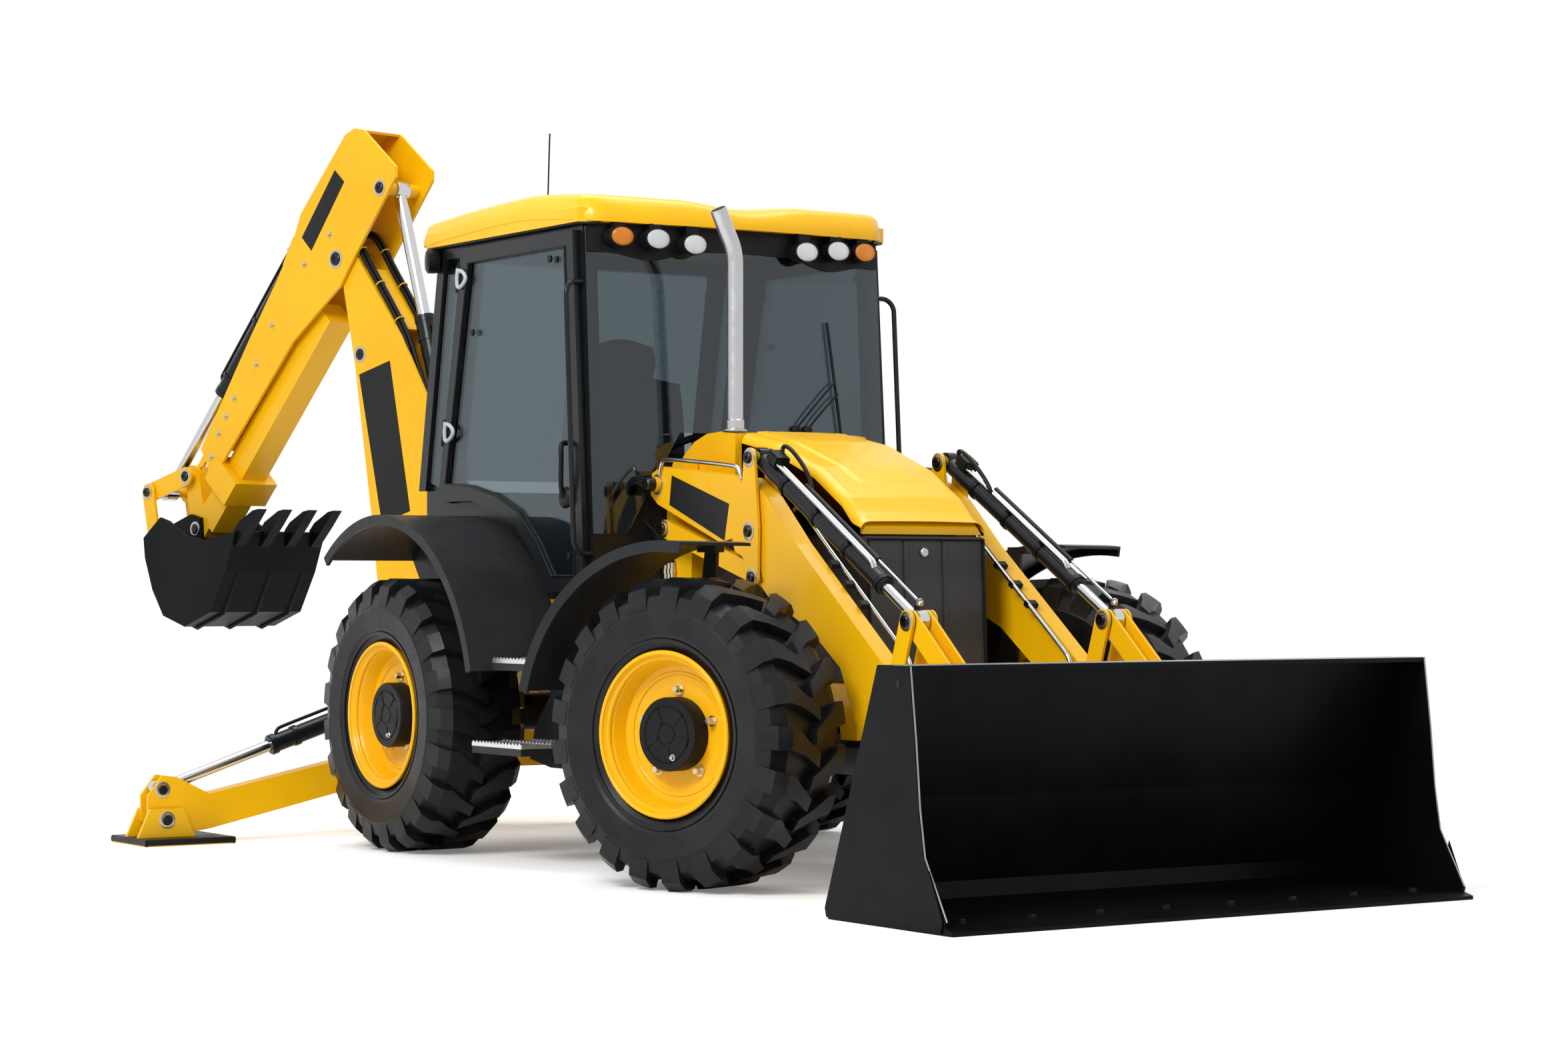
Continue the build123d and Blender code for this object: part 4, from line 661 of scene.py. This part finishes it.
rows = []
for i in range(61):
    x = HOOD_REAR + (HOOD_FRONT - HOOD_REAR) * i / 60
    top = max(smooth_hood(x), hood_z(x)) + 3
    foot = 1402 - (x - 1566) * 30 / 854
    flank = [(HOOD_HALF, foot), (HOOD_HALF, (foot + top) / 2), (HOOD_HALF, top - HOOD_ROUND)]
    flank += [(HOOD_HALF - HOOD_ROUND + HOOD_ROUND * cos(radians(a)),
               top - HOOD_ROUND + HOOD_ROUND * sin(radians(a))) for a in (15, 30, 45, 60, 75)]
    row = [sd(x, -y, z) for y, z in flank]
    span = 232 - 70 * (x - HOOD_REAR) / 640
    for k in range(-26, 27):
        y = 10 * k
        rim = min(span - abs(y), RAISED_FRONT - x)
        t = min(1.0, max(0.0, rim / RAISED_RAMP))
        row.append(sd(x, y, top + 4 * (1 - (y / 300) ** 2) + RAISED_BY * t * t * (3 - 2 * t)))
    row += [sd(x, y, z) for y, z in reversed(flank)]
    rows.append(row)
add_sheet("bonnet_skin", rows, UP * -0.0025, "bonnet", yellow, 40)

# Pins: dark heads in bright retaining rings. Rows are the body, the pivot, the faces, the pin's
# radius and how far the head stands ahead of the plate that it holds
SIDE_PINS = (("loader_arms", (1968, 1387), (408, 532), 26, 3),
             ("loader_arms", (2952, 755), (408, 532), 26, 3),
             ("levers", (1968, 1682), (408, 532), 26, 3), ("levers", (1990, 1201), (408, 532), 26, 3),
             ("tip_levers", (3045, 1035), (408, 532), 26, 3), ("bucket", (3480, 290), (408, 532), 30, 3),
             ("bucket", (3573, 570), (408, 532), 26, 3), ("chassis", (1236, 1593), (532,), 32, 24),
             ("chassis", (1258, 1407), (500,), 26, 10))
HOE_PINS = (("kingpost", (330, 700), 150, 38, 13), ("boom", (711, 2339), BOOM_FACE, 30, 0),
            ("boom", (60, 1560), BOOM_FACE, 30, 0), ("dipper_outer", (873, 2832), DIPPER_FACE, 36, 0),
            ("dipper_outer", (535, 3168), DIPPER_FACE, 30, 0), ("hoe_lever", (2112, 1752), 126, 28, 0),
            ("hoe_lever", (2412, 1672), 152, 26, 6), ("hoe_link", (2350, 1390), 146, 26, 0),
            ("hoe_bucket", (2050, 1470), 106, 28, 0))
CROSS_PINS = (("chassis", (380, 390), 76, 28, 0), ("chassis", (430, 700), 76, 28, 0),
              ("stabiliser_leg", (1790, 245), 50, 24, 3), ("stabiliser_pad", (1780, 110), 80, 26, 4))
pins = {}


def add_pin(body, place, outward, radius, back):
    pins.setdefault(body, []).append((Vector(place), Vector(outward), radius / 1000, back / 1000))


for body, (x, z), faces, radius, back in SIDE_PINS:
    for sign in (-1, 1):
        for face in faces:
            add_pin(body, sd(x, sign * face, z), (0, sign if face > 470 else -sign, 0), radius, back)
for body, (r, z), face, radius, back in HOE_PINS:
    for sign in (-1, 1):
        add_pin(body, hp(r, sign * face, z), HOE_N * sign, radius, back)
for body, (out, z), face, radius, back in CROSS_PINS:
    for side_name, sign in SIGN.items():
        for end in (-1, 1):
            name = body if body == "chassis" else f"{body}_{side_name}"
            add_pin(name, sd(STAB_X + end * face, sign * out, z), (end, 0, 0), radius, back)
for body, places in pins.items():
    heads = bmesh.new()
    rings = bmesh.new()
    for place, outward, r, back in places:
        thin = 0.0045 if body in ("boom", "hoe_bucket") else 0.011
        add_lathe(heads, ((0, 0), (r * 0.92, 0), (r * 0.92, thin * 0.7), (r * 0.8, thin), (r * 0.3, thin),
                          (r * 0.26, thin * 0.6), (0, thin * 0.6)), place, outward, 28)
        add_lathe(rings, ((r + 0.0006, 0), (r + 0.012, 0), (r + 0.012, 0.0025), (r + 0.010, 0.0035),
                          (r + 0.0006, 0.0035), (r + 0.0006, 0)), place - outward * back, outward, 32)
    add_piece(f"pin_heads_{body}", mesh_from(heads, f"pin_heads_{body}"), body, pin_black)
    add_piece(f"pin_rings_{body}", mesh_from(rings, f"pin_rings_{body}"), body, brushed)

# Plain dark panels on the digging arm and the loader arms
BOOM_PANEL = ((718, 2237), (483, 2297), (327, 1540), (540, 1480))
DIPPER_PANEL = ((1142, 2960), (882, 3286), (808, 3220), (1066, 2886))
ARM_PANEL = ((1349, 1628), (1790, 1500), (1755, 1351), (1330, 1505))
PANEL = 0.0015  # thickness of a panel
prisms("boom_panels", [(arm_points(s * BOOM_FACE, BOOM_PANEL), HOE_N * s * PANEL) for s in (-1, 1)],
       "boom", decal_dark, 0.0004)
prisms("dipper_panels", [(arm_points(s * DIPPER_FACE, DIPPER_PANEL), HOE_N * s * PANEL) for s in (-1, 1)],
       "dipper_outer", decal_dark, 0.0004)
prisms("arm_panels", [(side_points(s * 508, ARM_PANEL), Vector((0, s * PANEL, 0))) for s in (-1, 1)],
       "loader_arms", decal_dark, 0.0004)

# Bolts that hold the dipper's wear pads
DIPPER_BOLTS = ((920, 2960), (1120, 2820), (1508, 2323), (1690, 2153), (1820, 1972), (1380, 2520),
                (1760, 2060), (1880, 1850))
bolts("dipper_bolts", [(place, HOE_N * s) for s in (-1, 1)
                       for place in arm_points(s * DIPPER_FACE, DIPPER_BOLTS)],
      0.012, 0.014, "dipper_outer", bolt_steel)

# Loader rams: top block, two pipes, bands and level rod of each crowd ram
CROWD_U = Vector((1077, 0, -647)).normalized()
CROWD_N = Vector((647, 0, 1077)).normalized()


def on_crowd(d, h, y):
    """Point d along a crowd ram from its upper pin and h above its middle line."""
    return sd(1968, y, 1682) + (CROWD_U * d + CROWD_N * h) / 1000


def crowd_patch(d, h, y):
    """Rectangle over a crowd ram: d and y are its limits."""
    return [on_crowd(d[i], h, y[j]) for i, j in ((0, 0), (1, 0), (1, 1), (0, 1))]


for side_name, sign in SIGN.items():
    mid = sign * ARM_Y
    outward = OUT[side_name]
    prisms(f"crowd_block_{side_name}", [(crowd_patch((70, 150), 34, (mid - 34, mid + 34)), CROWD_N * 0.046)],
           "crowd_barrels", trim_black, 0.006)
    pipes = [[on_crowd(d, h, mid + y * part) for d, h, part in
              ((120, 50, 1), (170, 52, 1), (880, 50, 1), (905, 48, 1), (915, 30, 0.7))] for y in (-22, -5)]
    tube(f"crowd_pipes_{side_name}", pipes, 0.007, "crowd_barrels", chrome)
    lathes(f"level_guide_{side_name}", hoop(0.0065, 0.011, 0, 0.575),
           [(on_crowd(320, 53, mid + 15), CROWD_U)], "crowd_barrels", trim_black, 20)
    lathes(f"level_rod_{side_name}", disc(0.0055, 0.575), [(on_crowd(640, 53, mid + 15), CROWD_U)],
           "crowd_rods", chrome, 16)
    bolts(f"level_nut_{side_name}", [(on_crowd(1206, 53, mid + 15), CROWD_U)], 0.011, 0.014, "crowd_rods",
          brushed)
    prisms(f"level_clip_{side_name}", [(crowd_patch((1196, 1208), 20, (mid + 4, mid + 26)), CROWD_N * 0.044)],
           "crowd_rods", pin_black)
    lathes(f"crowd_bands_{side_name}", hoop(0.0362, 0.041, -0.012, 0.012),
           [(on_crowd(d, 0, mid), CROWD_U) for d in (230, 480, 730, 985)], "crowd_barrels", trim_black, 32)
    saddles = [(crowd_patch((d - 10, d + 10), 36, (mid - 30, mid + 38)), CROWD_N * 0.010) for d in (480, 730)]
    prisms(f"crowd_saddles_{side_name}", saddles, "crowd_barrels", trim_black)
    # pipe along the inner front edge of each arm
    line = side_points(sign * 387, ((2085, 1470), (2110, 1500), (2282, 1352), (2560, 1134), (2840, 912),
                                    (2872, 880), (2880, 850)))
    tube(f"arm_pipe_{side_name}", [line], 0.009, "loader_arms", chrome)
    clamps = []
    for x, z in ((2400, 1259), (2500, 1181), (2600, 1102)):
        corners = ((x - 12, z - 12), (x + 12, z - 26), (x + 22, z - 8), (x - 2, z + 10))
        clamps.append((side_points(sign * 433, corners), outward * -0.056))
    prisms(f"arm_clamps_{side_name}", clamps, "loader_arms", trim_black)
    # hoses from the tower to a swivel on the arm's pivot, and a pipe along the arm to the lever
    tube(f"tower_hoses_{side_name}",
         [beside(sign, ((1150 + 26 * k, 413, 1262), (1135 + 14 * k, 440, 1370), (1105 + 6 * k, 510, 1450),
                        (1092 + 4 * k, 552, 1530), (1110 + 8 * k, 560, 1612 - 6 * k),
                        (1180, 560, 1628 - 14 * k), (1222, 560, 1610 - 16 * k))) for k in (0, 1, 2)],
         0.010, "chassis", hose_rubber)
    lathes(f"pivot_swivel_{side_name}", ((0, 0), (0.03, 0), (0.03, 0.024), (0.024, 0.030), (0, 0.030)),
           [(sd(1236, sign * 543, 1593), outward)], "chassis", pin_black, 28)
    lathes(f"tower_fittings_{side_name}", ((0, 0), (0.013, 0), (0.013, 0.035), (0.016, 0.035), (0.016, 0.055),
                                           (0.0125, 0.055), (0.0125, 0.08), (0, 0.08)),
           [(sd(1150 + 26 * k, sign * 413, 1185), UP) for k in (0, 1, 2)], "chassis", bolt_steel, 16)
    supply = beside(sign, ((1262, 514, 1638), (1280, 519, 1690), (1330, 519, 1697), (1840, 519, 1655),
                           (1880, 516, 1640), (1890, 512, 1600)))
    tube(f"arm_supply_{side_name}", [supply], 0.009, "loader_arms", chrome)
    loop = [on_crowd(d, h, mid - y * sign) for d, h, y in
            ((100, 66, 26), (60, 90, 34), (110, 112, 36), (230, 100, 36), (330, 70, 30), (345, 52, 26))]
    tube(f"lever_hoses_{side_name}", [loop], 0.009, "crowd_barrels", hose_rubber)

# Loader bucket: edge bolts, wear plates and side holes, with painted highlights on the top edge and the side
# edges as bright grey metal strips
WEAR_PLATE = ((4118, 214), (4196, 44), (4186, 6), (3960, 6), (3990, 60), (4098, 130))
SIDE_EDGE = ((4206, 45), (4082, 252), (4054, 411), (4032, 640), (4000, 894))
bolts("bucket_edge_bolts", [(sd(4085, y, 26.5), UP) for y in range(-1050, 1051, 300)], 0.015, 0.012,
      "bucket", black_paint)
# painted highlight: a grey metal strip along the top edge stands in for the light the edge catches
lip = [sd(x, y * BUCKET_HALF, 896) for x, y in ((3900, -1), (3998, -1), (3998, 1), (3900, 1))]
prisms("bucket_top_edge_highlight", [(lip, UP * 0.002)], "bucket", brushed_dark, 0.0006)
prisms("bucket_wear_plates", [(side_points(s * BUCKET_HALF, WEAR_PLATE), Vector((0, s * 0.006, 0)))
                              for s in (-1, 1)], "bucket", bucket_black)
lathes("bucket_side_holes", disc(0.014, 0.0012),
       [(sd(3935, s * BUCKET_HALF, 833), Vector((0, s, 0))) for s in (-1, 1)], "bucket", trim_black, 24)
# painted highlight: a thin grey metal bar along each side edge stands in for the bright line of light on that
# edge
tube("bucket_side_edge_highlights", [side_points(s * (BUCKET_HALF - 6), SIDE_EDGE) for s in (-1, 1)], 0.0035, "bucket",
     brushed_dark, straight=True)

# Digging bucket: tooth bolts and weld ribs
BUCKET_RIB = ((1560, 1232), (1672, 1026), (1886, 948), (2073, 1006), (2168, 1145))
under = -(hp(1, 0, 1) - hp(0, 0, 0)).normalized()
FIRST_TOOTH = -250
TOOTH_PITCH = 500 / 3
bolts("tooth_bolts", [(hp(r, FIRST_TOOTH + i * TOOTH_PITCH, z), under) for i in range(4)
                      for r, z in ((1506, 1412), (1478, 1442))],
      0.011, 0.016, "hoe_bucket", brushed)
tube("hoe_bucket_ribs", [arm_points(n, BUCKET_RIB) for n in (-214, 0, 214)], 0.012, "hoe_bucket",
     bucket_black, straight=True)

# Hoses up the boom and over its top, tied in two bundles
HOSE_ROUTE = ((215, 1690), (196, 1830), (206, 2040), (318, 2240), (384, 2402), (520, 2586), (676, 2780),
              (760, 2900), (812, 2950), (874, 2964), (940, 2942), (985, 2890))
TIE_PLACES = (((452, 2494), (0.63, 0.77)), ((598, 2683), (0.63, 0.77)), ((737, 2865), (0.6, 0.8)),
              ((874, 2973), (1.0, 0.0)))
TIE_RADIUS = 23.5
BUNDLE = 75  # middle of a bundle beside the boom's middle
hose_rows = []
tie_rows = []
for s in (-1, 1):
    for n, lift in ((86, 3), (64, 3), (BUNDLE, 22)):
        points = []
        for i, (r, z) in enumerate(HOSE_ROUTE):
            a, b = HOSE_ROUTE[max(i - 1, 0)], HOSE_ROUTE[min(i + 1, len(HOSE_ROUTE) - 1)]
            length = ((b[0] - a[0]) ** 2 + (b[1] - a[1]) ** 2) ** 0.5
            nr, nz = -(b[1] - a[1]) / length, (b[0] - a[0]) / length
            points.append(hp(r + nr * lift, s * n, z + nz * lift))
        hose_rows.append(points)
    for (r, z), (dr, dz) in TIE_PLACES:
        ring = []
        for k in range(13):
            a = 2 * pi * k / 12
            w, h = TIE_RADIUS * cos(a), TIE_RADIUS * sin(a)
            ring.append(hp(r - dz * (h + 10), s * (BUNDLE + w), z + dr * (h + 10)))
        tie_rows.append(ring)
tube("boom_hoses", hose_rows, 0.0105, "boom", hose_rubber)
tube("hose_ties", tie_rows, 0.0035, "boom", tie_yellow, straight=True)


# Pipes, end fittings and bands along the digging arm's rams
def ram_dressing(name, base, eye, lengths, radius):
    """Pipes along a ram's barrel, clamped by bands: lengths are (first, last) from the base pin."""
    body = f"{name}_barrel"
    u = (eye[0] - base[0], eye[1] - base[1])
    length = (u[0] ** 2 + u[1] ** 2) ** 0.5
    u = (u[0] / length, u[1] / length)

    def at(d, h, n):
        return hp(base[0] + u[0] * d - u[1] * h, n, base[1] + u[1] * d + u[0] * h)

    first, last = lengths
    route = ((first, radius * 0.6), (first, radius + 14), (first + 50, radius + 16),
             (last - 50, radius + 16), (last, radius + 14), (last, radius * 0.6))
    tube(f"{name}_pipes", [[at(d, h, n) for d, h in route] for n in (-14, 14)], 0.008, body, trim_black)
    along = (at(100, 0, 0) - at(0, 0, 0)).normalized()
    r = radius / 1000
    lathes(f"{name}_bands", hoop(r + 0.0003, r + 0.006, -0.010, 0.010),
           [(at(d, 0, 0), along) for d in (first + 60, (first + last) / 2, last - 60)], body, black_paint, 36)
    lathes(f"{name}_gland", ((r + 0.0003, -0.03), (r + 0.003, -0.03), (r + 0.003, 0.0), (r * 0.72, 0.006),
                             (r * 0.68, 0.0), (r + 0.0003, -0.03)),
           [(at(last + 60, 0, 0), along)], body, black_paint, 36)
    bolts(f"{name}_unions", [(at(first, radius + 16, n), -along) for n in (-14, 14)], 0.012, 0.024, body,
          brushed)


ram_dressing("boom_ram", (200, 960), (711, 2339), (150, 1185), 48)
ram_dressing("dipper_ram", (60, 1560), (535, 3168), (150, 938), 50)
ram_dressing("hoe_ram", (1260, 2966), (2412, 1672), (120, 978), 44)

# Stabilisers: rubber feet, and a pipe and bands on each ram
STAB_RAM = Vector((430, 700, 0)), Vector((1790, 245, 0))
STAB_U = (STAB_RAM[1] - STAB_RAM[0]).normalized()
STAB_N = Vector((-STAB_U.y, STAB_U.x, 0))


def on_stab_ram(sign, d, h):
    """Point d along a stabiliser's ram from its upper pin and h above its middle line."""
    q = STAB_RAM[0] + STAB_U * d + STAB_N * h
    return sd(STAB_X, sign * q.x, q.y)


for side_name, sign in SIGN.items():
    barrel = f"stabiliser_barrel_{side_name}"
    foot = [sd(STAB_X + dx * 202, sign * (1717 + dy * 219), 1)
            for dx, dy in ((-1, -1), (1, -1), (1, 1), (-1, 1))]
    prisms(f"stabiliser_rubber_{side_name}", [(foot, UP * 0.031)], f"stabiliser_pad_{side_name}",
           trim_black, 0.004)
    pipe = [on_stab_ram(sign, d, h) for d, h in
            ((120, 40), (120, 62), (160, 64), (760, 64), (800, 60), (810, 40))]
    tube(f"stabiliser_pipe_{side_name}", [pipe], 0.008, barrel, trim_black)
    along = (on_stab_ram(sign, 10, 0) - on_stab_ram(sign, 0, 0)).normalized()
    lathes(f"stabiliser_bands_{side_name}", hoop(0.0423, 0.048, -0.012, 0.012),
           [(on_stab_ram(sign, d, 0), along) for d in (220, 480, 720, 838)], barrel, black_paint, 32)

# Steps: bright toothed treads, and the bolts and louvres beside them
TREAD = 836  # inner edge of the treads
for side_name, sign in SIGN.items():
    outward = OUT[side_name]
    bm = bmesh.new()
    for z, x0, x1, reach in ((496, 760, 1180, 1130), (846, 900, 1180, 1110)):
        for x in range(x0, x1 + 1, 35):
            bar = beside(sign, ((x - 3, TREAD, z), (x + 3, TREAD, z), (x + 3, reach, z), (x - 3, reach, z)))
            add_prism(bm, bar, UP * 0.016)
        for y in (TREAD, (TREAD + reach) / 2, reach - 3):
            top = []
            count = int((x1 - x0) / 14)
            for i in range(count + 1):
                x = x0 + (x1 - x0) * i / count
                top.append(sd(x, sign * y, z + (24 if i % 2 else 13)))
            add_prism(bm, top + [sd(x1, sign * y, z), sd(x0, sign * y, z)], outward * 0.004)
    add_piece(f"step_treads_{side_name}", mesh_from(bm, f"step_treads_{side_name}"), "chassis", tread_steel)
    heads = side_points(sign * (BOX_FACE + 1), ((930, 440), (1390, 430), (1390, 570), (1120, 900),
                                                (960, 900)))
    bolts(f"box_bolts_{side_name}", [(place, outward) for place in heads], 0.011, 0.012, "chassis",
          trim_black)
    vents = [(side_points(sign * BOX_FACE, ((1010, z), (1130, z), (1130, z + 12), (1010, z + 12))),
              outward * 0.006) for z in range(590, 735, 24)]
    prisms(f"box_louvres_{side_name}", vents, "chassis", fender_plastic)

# Grille: lock, trim and side louvres, and the exhaust stack's collar
lathes("bonnet_lock", ((0, 0), (0.019, 0), (0.019, 0.006), (0.015, 0.010), (0.006, 0.010), (0.005, 0.007),
                       (0, 0.007)), [(sd(2449, -12, 1300), Vector((1, 0, 0.04)))], "chassis", brushed, 32)
tube("grille_trim", [side_points(-GRILLE_HALF, ((2479, 575), (2450, 1356))),
                     side_points(GRILLE_HALF, ((2479, 575), (2450, 1356))),
                     [sd(2450, -GRILLE_HALF, 1352), sd(2450, GRILLE_HALF, 1352)]],
     0.006, "chassis", trim_black, straight=True)
lathes("stack_collar", ((0.0355, 0), (0.052, 0), (0.052, 0.006), (0.040, 0.010), (0.040, 0.045),
                        (0.0355, 0.05), (0.0355, 0)), [(sd(1495, -290, 1812), UP)], "chassis", brushed, 40)
louvres = [(side_points(s * GRILLE_HALF, ((x, 1120), (x + 26, 1120), (x + 46, 1330), (x + 20, 1330))),
            Vector((0, s * 0.005, 0))) for s in (-1, 1) for x in range(1520, 2017, 62)]
prisms("side_louvres", louvres, "chassis", trim_black, 0.0015)


# Driver's place: padded seat and head rest, levers and dials
def add_pad(name, centre, lengths, turn):
    """Crowned cushion with two sewn grooves in its upper and lower faces."""
    bm = bmesh.new()
    bmesh.ops.create_cube(bm, size=1.0)
    bmesh.ops.subdivide_edges(bm, edges=bm.edges, cuts=13, use_grid_fill=True)
    w, d, h = lengths
    rot = Matrix.Rotation(radians(turn), 3, "Y")
    for v in bm.verts:
        x, y, z = v.co * 2
        crown_x, crown_y, crown_z = 1 - x * x, 1 - y * y, 1 - z * z
        px = x * (w / 2 - 0.03 * (1 - crown_y * 0.5)) + x * 0.02 * crown_y * crown_z
        py = y * (d / 2) * (0.93 + 0.07 * crown_x) + y * 0.01 * crown_x * crown_z
        pz = z * (h / 2) * (0.84 + 0.16 * crown_x) * (0.86 + 0.14 * crown_y)
        for line in (-0.42, 0.42):
            if abs(z) > 0.95:
                pz -= (0.012 if z > 0 else -0.012) * max(0.0, 1 - abs(y - line) / 0.09)
        v.co = rot @ Vector((px, py, pz)) + Vector(centre)
    add_piece(name, mesh_from(bm, name, 80), "chassis", seat_fabric)


add_pad("seat_cushion", sd(330, 0, 1478), (0.60, 0.57, 0.19), 0)
add_pad("seat_back", sd(108, 0, 1785), (0.68, 0.55, 0.20), 90)
add_pad("head_rest", sd(96, 0, 2190), (0.20, 0.30, 0.11), 90)
tube("head_rest_posts", [side_points(s * 60, ((100, 2060), (98, 2140))) for s in (-1, 1)], 0.006,
     "chassis", brushed, straight=True)
tube("seat_levers", [side_points(s * 300, ((640, 1160), (640, 1400), (610, 1520))) for s in (-1, 1)],
     0.009, "chassis", trim_black)
lathes("lever_knobs", ((0, 0), (0.014, 0), (0.024, 0.02), (0.026, 0.045), (0.018, 0.065), (0, 0.07)),
       [(sd(612, s * 300, 1505), Vector((-0.2, 0, 1))) for s in (-1, 1)], "chassis", trim_black)
lathes("dash_dials", ((0, 0), (0.045, 0), (0.045, 0.008), (0.04, 0.010), (0.038, 0.004), (0, 0.004)),
       [(sd(838, y, 1560), Vector((-1, 0, 0.3))) for y in (-110, 0, 110)], "chassis", brushed_dark, 28)

# Floor, light and camera
bm = bmesh.new()
bmesh.ops.create_grid(bm, x_segments=8, y_segments=8, size=60)
floor_mesh = mesh_from(bm, "studio_floor")
floor = bpy.data.objects.new("studio_floor", floor_mesh)
scene.collection.objects.link(floor)
floor_material, floor_tree, floor_shader = new_material("studio_floor", (0.93, 0.93, 0.93), 0.9)
set_inputs(floor_shader, {"Specular IOR Level": 0.0})
floor_mesh.materials.append(floor_material)
reach = add_node(floor_tree, "VectorMath")
reach.operation = "LENGTH"
fade = add_node(floor_tree, "MapRange", {"From Min": 5.0, "From Max": 9.5})
fade.interpolation_type = "SMOOTHSTEP"
clear = add_node(floor_tree, "BsdfTransparent")
blend = add_node(floor_tree, "MixShader")
lift = add_node(floor_tree, "Math", {1: 0.16})
lift.operation = "MULTIPLY"
glow = add_node(floor_tree, "Emission")
both = add_node(floor_tree, "AddShader")
join(add_node(floor_tree, "NewGeometry"), "Position", reach, 0)
join(reach, "Value", fade, "Value")
join(fade, "Result", blend, "Fac")
join(add_node(floor_tree, "LightPath"), "Is Camera Ray", lift, 0)
join(lift, 0, glow, "Strength")
join(floor_shader, "BSDF", both, 0)
join(glow, "Emission", both, 1)
join(both, "Shader", blend, 1)
join(clear, "BSDF", blend, 2)
join(blend, "Shader", floor_tree.nodes["Material Output"], "Surface")

world = bpy.data.worlds.new("studio")
scene.world = world
world.use_nodes = True
tree = world.node_tree
background = set_inputs(tree.nodes["Background"], {"Color": (1, 1, 1, 1)})
path = add_node(tree, "LightPath")
seen = add_node(tree, "Math")
seen.operation = "MAXIMUM"
seen_glass = add_node(tree, "Math")
seen_glass.operation = "MAXIMUM"
strength = add_node(tree, "MapRange", {"To Min": 0.62, "To Max": 1.0})
join(path, "Is Camera Ray", seen, 0)
join(path, "Is Glossy Ray", seen, 1)
join(seen, 0, seen_glass, 0)
join(path, "Is Transmission Ray", seen_glass, 1)
join(seen_glass, 0, strength, "Value")
join(strength, "Result", background, "Strength")


def area_light(name, place, target, width, height, power):
    data = bpy.data.lights.new(name, "AREA")
    data.shape = "RECTANGLE"
    data.size = width
    data.size_y = height
    data.energy = power
    lamp = bpy.data.objects.new(name, data)
    scene.collection.objects.link(lamp)
    lamp.location = place
    lamp.rotation_mode = "QUATERNION"
    lamp.rotation_quaternion = (Vector(target) - Vector(place)).to_track_quat("-Z", "Y")


area_light("key_light", (5.0, -8.0, 8.0), (0.5, 0, 1.0), 5.0, 3.5, 850)
area_light("top_light", (-1.0, 1.0, 9.5), (0, 0, 1.0), 8.0, 5.0, 500)

CAMERA_PLACE = (12.918, -7.790, 1.166)
CAMERA_TURN = 56.3  # degrees from +Y towards -X
CAMERA_RISE = 1.1  # degrees above level
camera_data = bpy.data.cameras.new("camera")
camera_data.lens = 76.16
camera_data.sensor_width = 36.0
camera_data.clip_end = 200.0
camera = bpy.data.objects.new("camera", camera_data)
scene.collection.objects.link(camera)
camera.location = CAMERA_PLACE
turn = radians(CAMERA_TURN)
rise = radians(CAMERA_RISE)
look = Vector((-sin(turn) * cos(rise), cos(turn) * cos(rise), sin(rise)))
camera.rotation_mode = "QUATERNION"
camera.rotation_quaternion = look.to_track_quat("-Z", "Y")
scene.camera = camera
scene.view_settings.view_transform = "Standard"
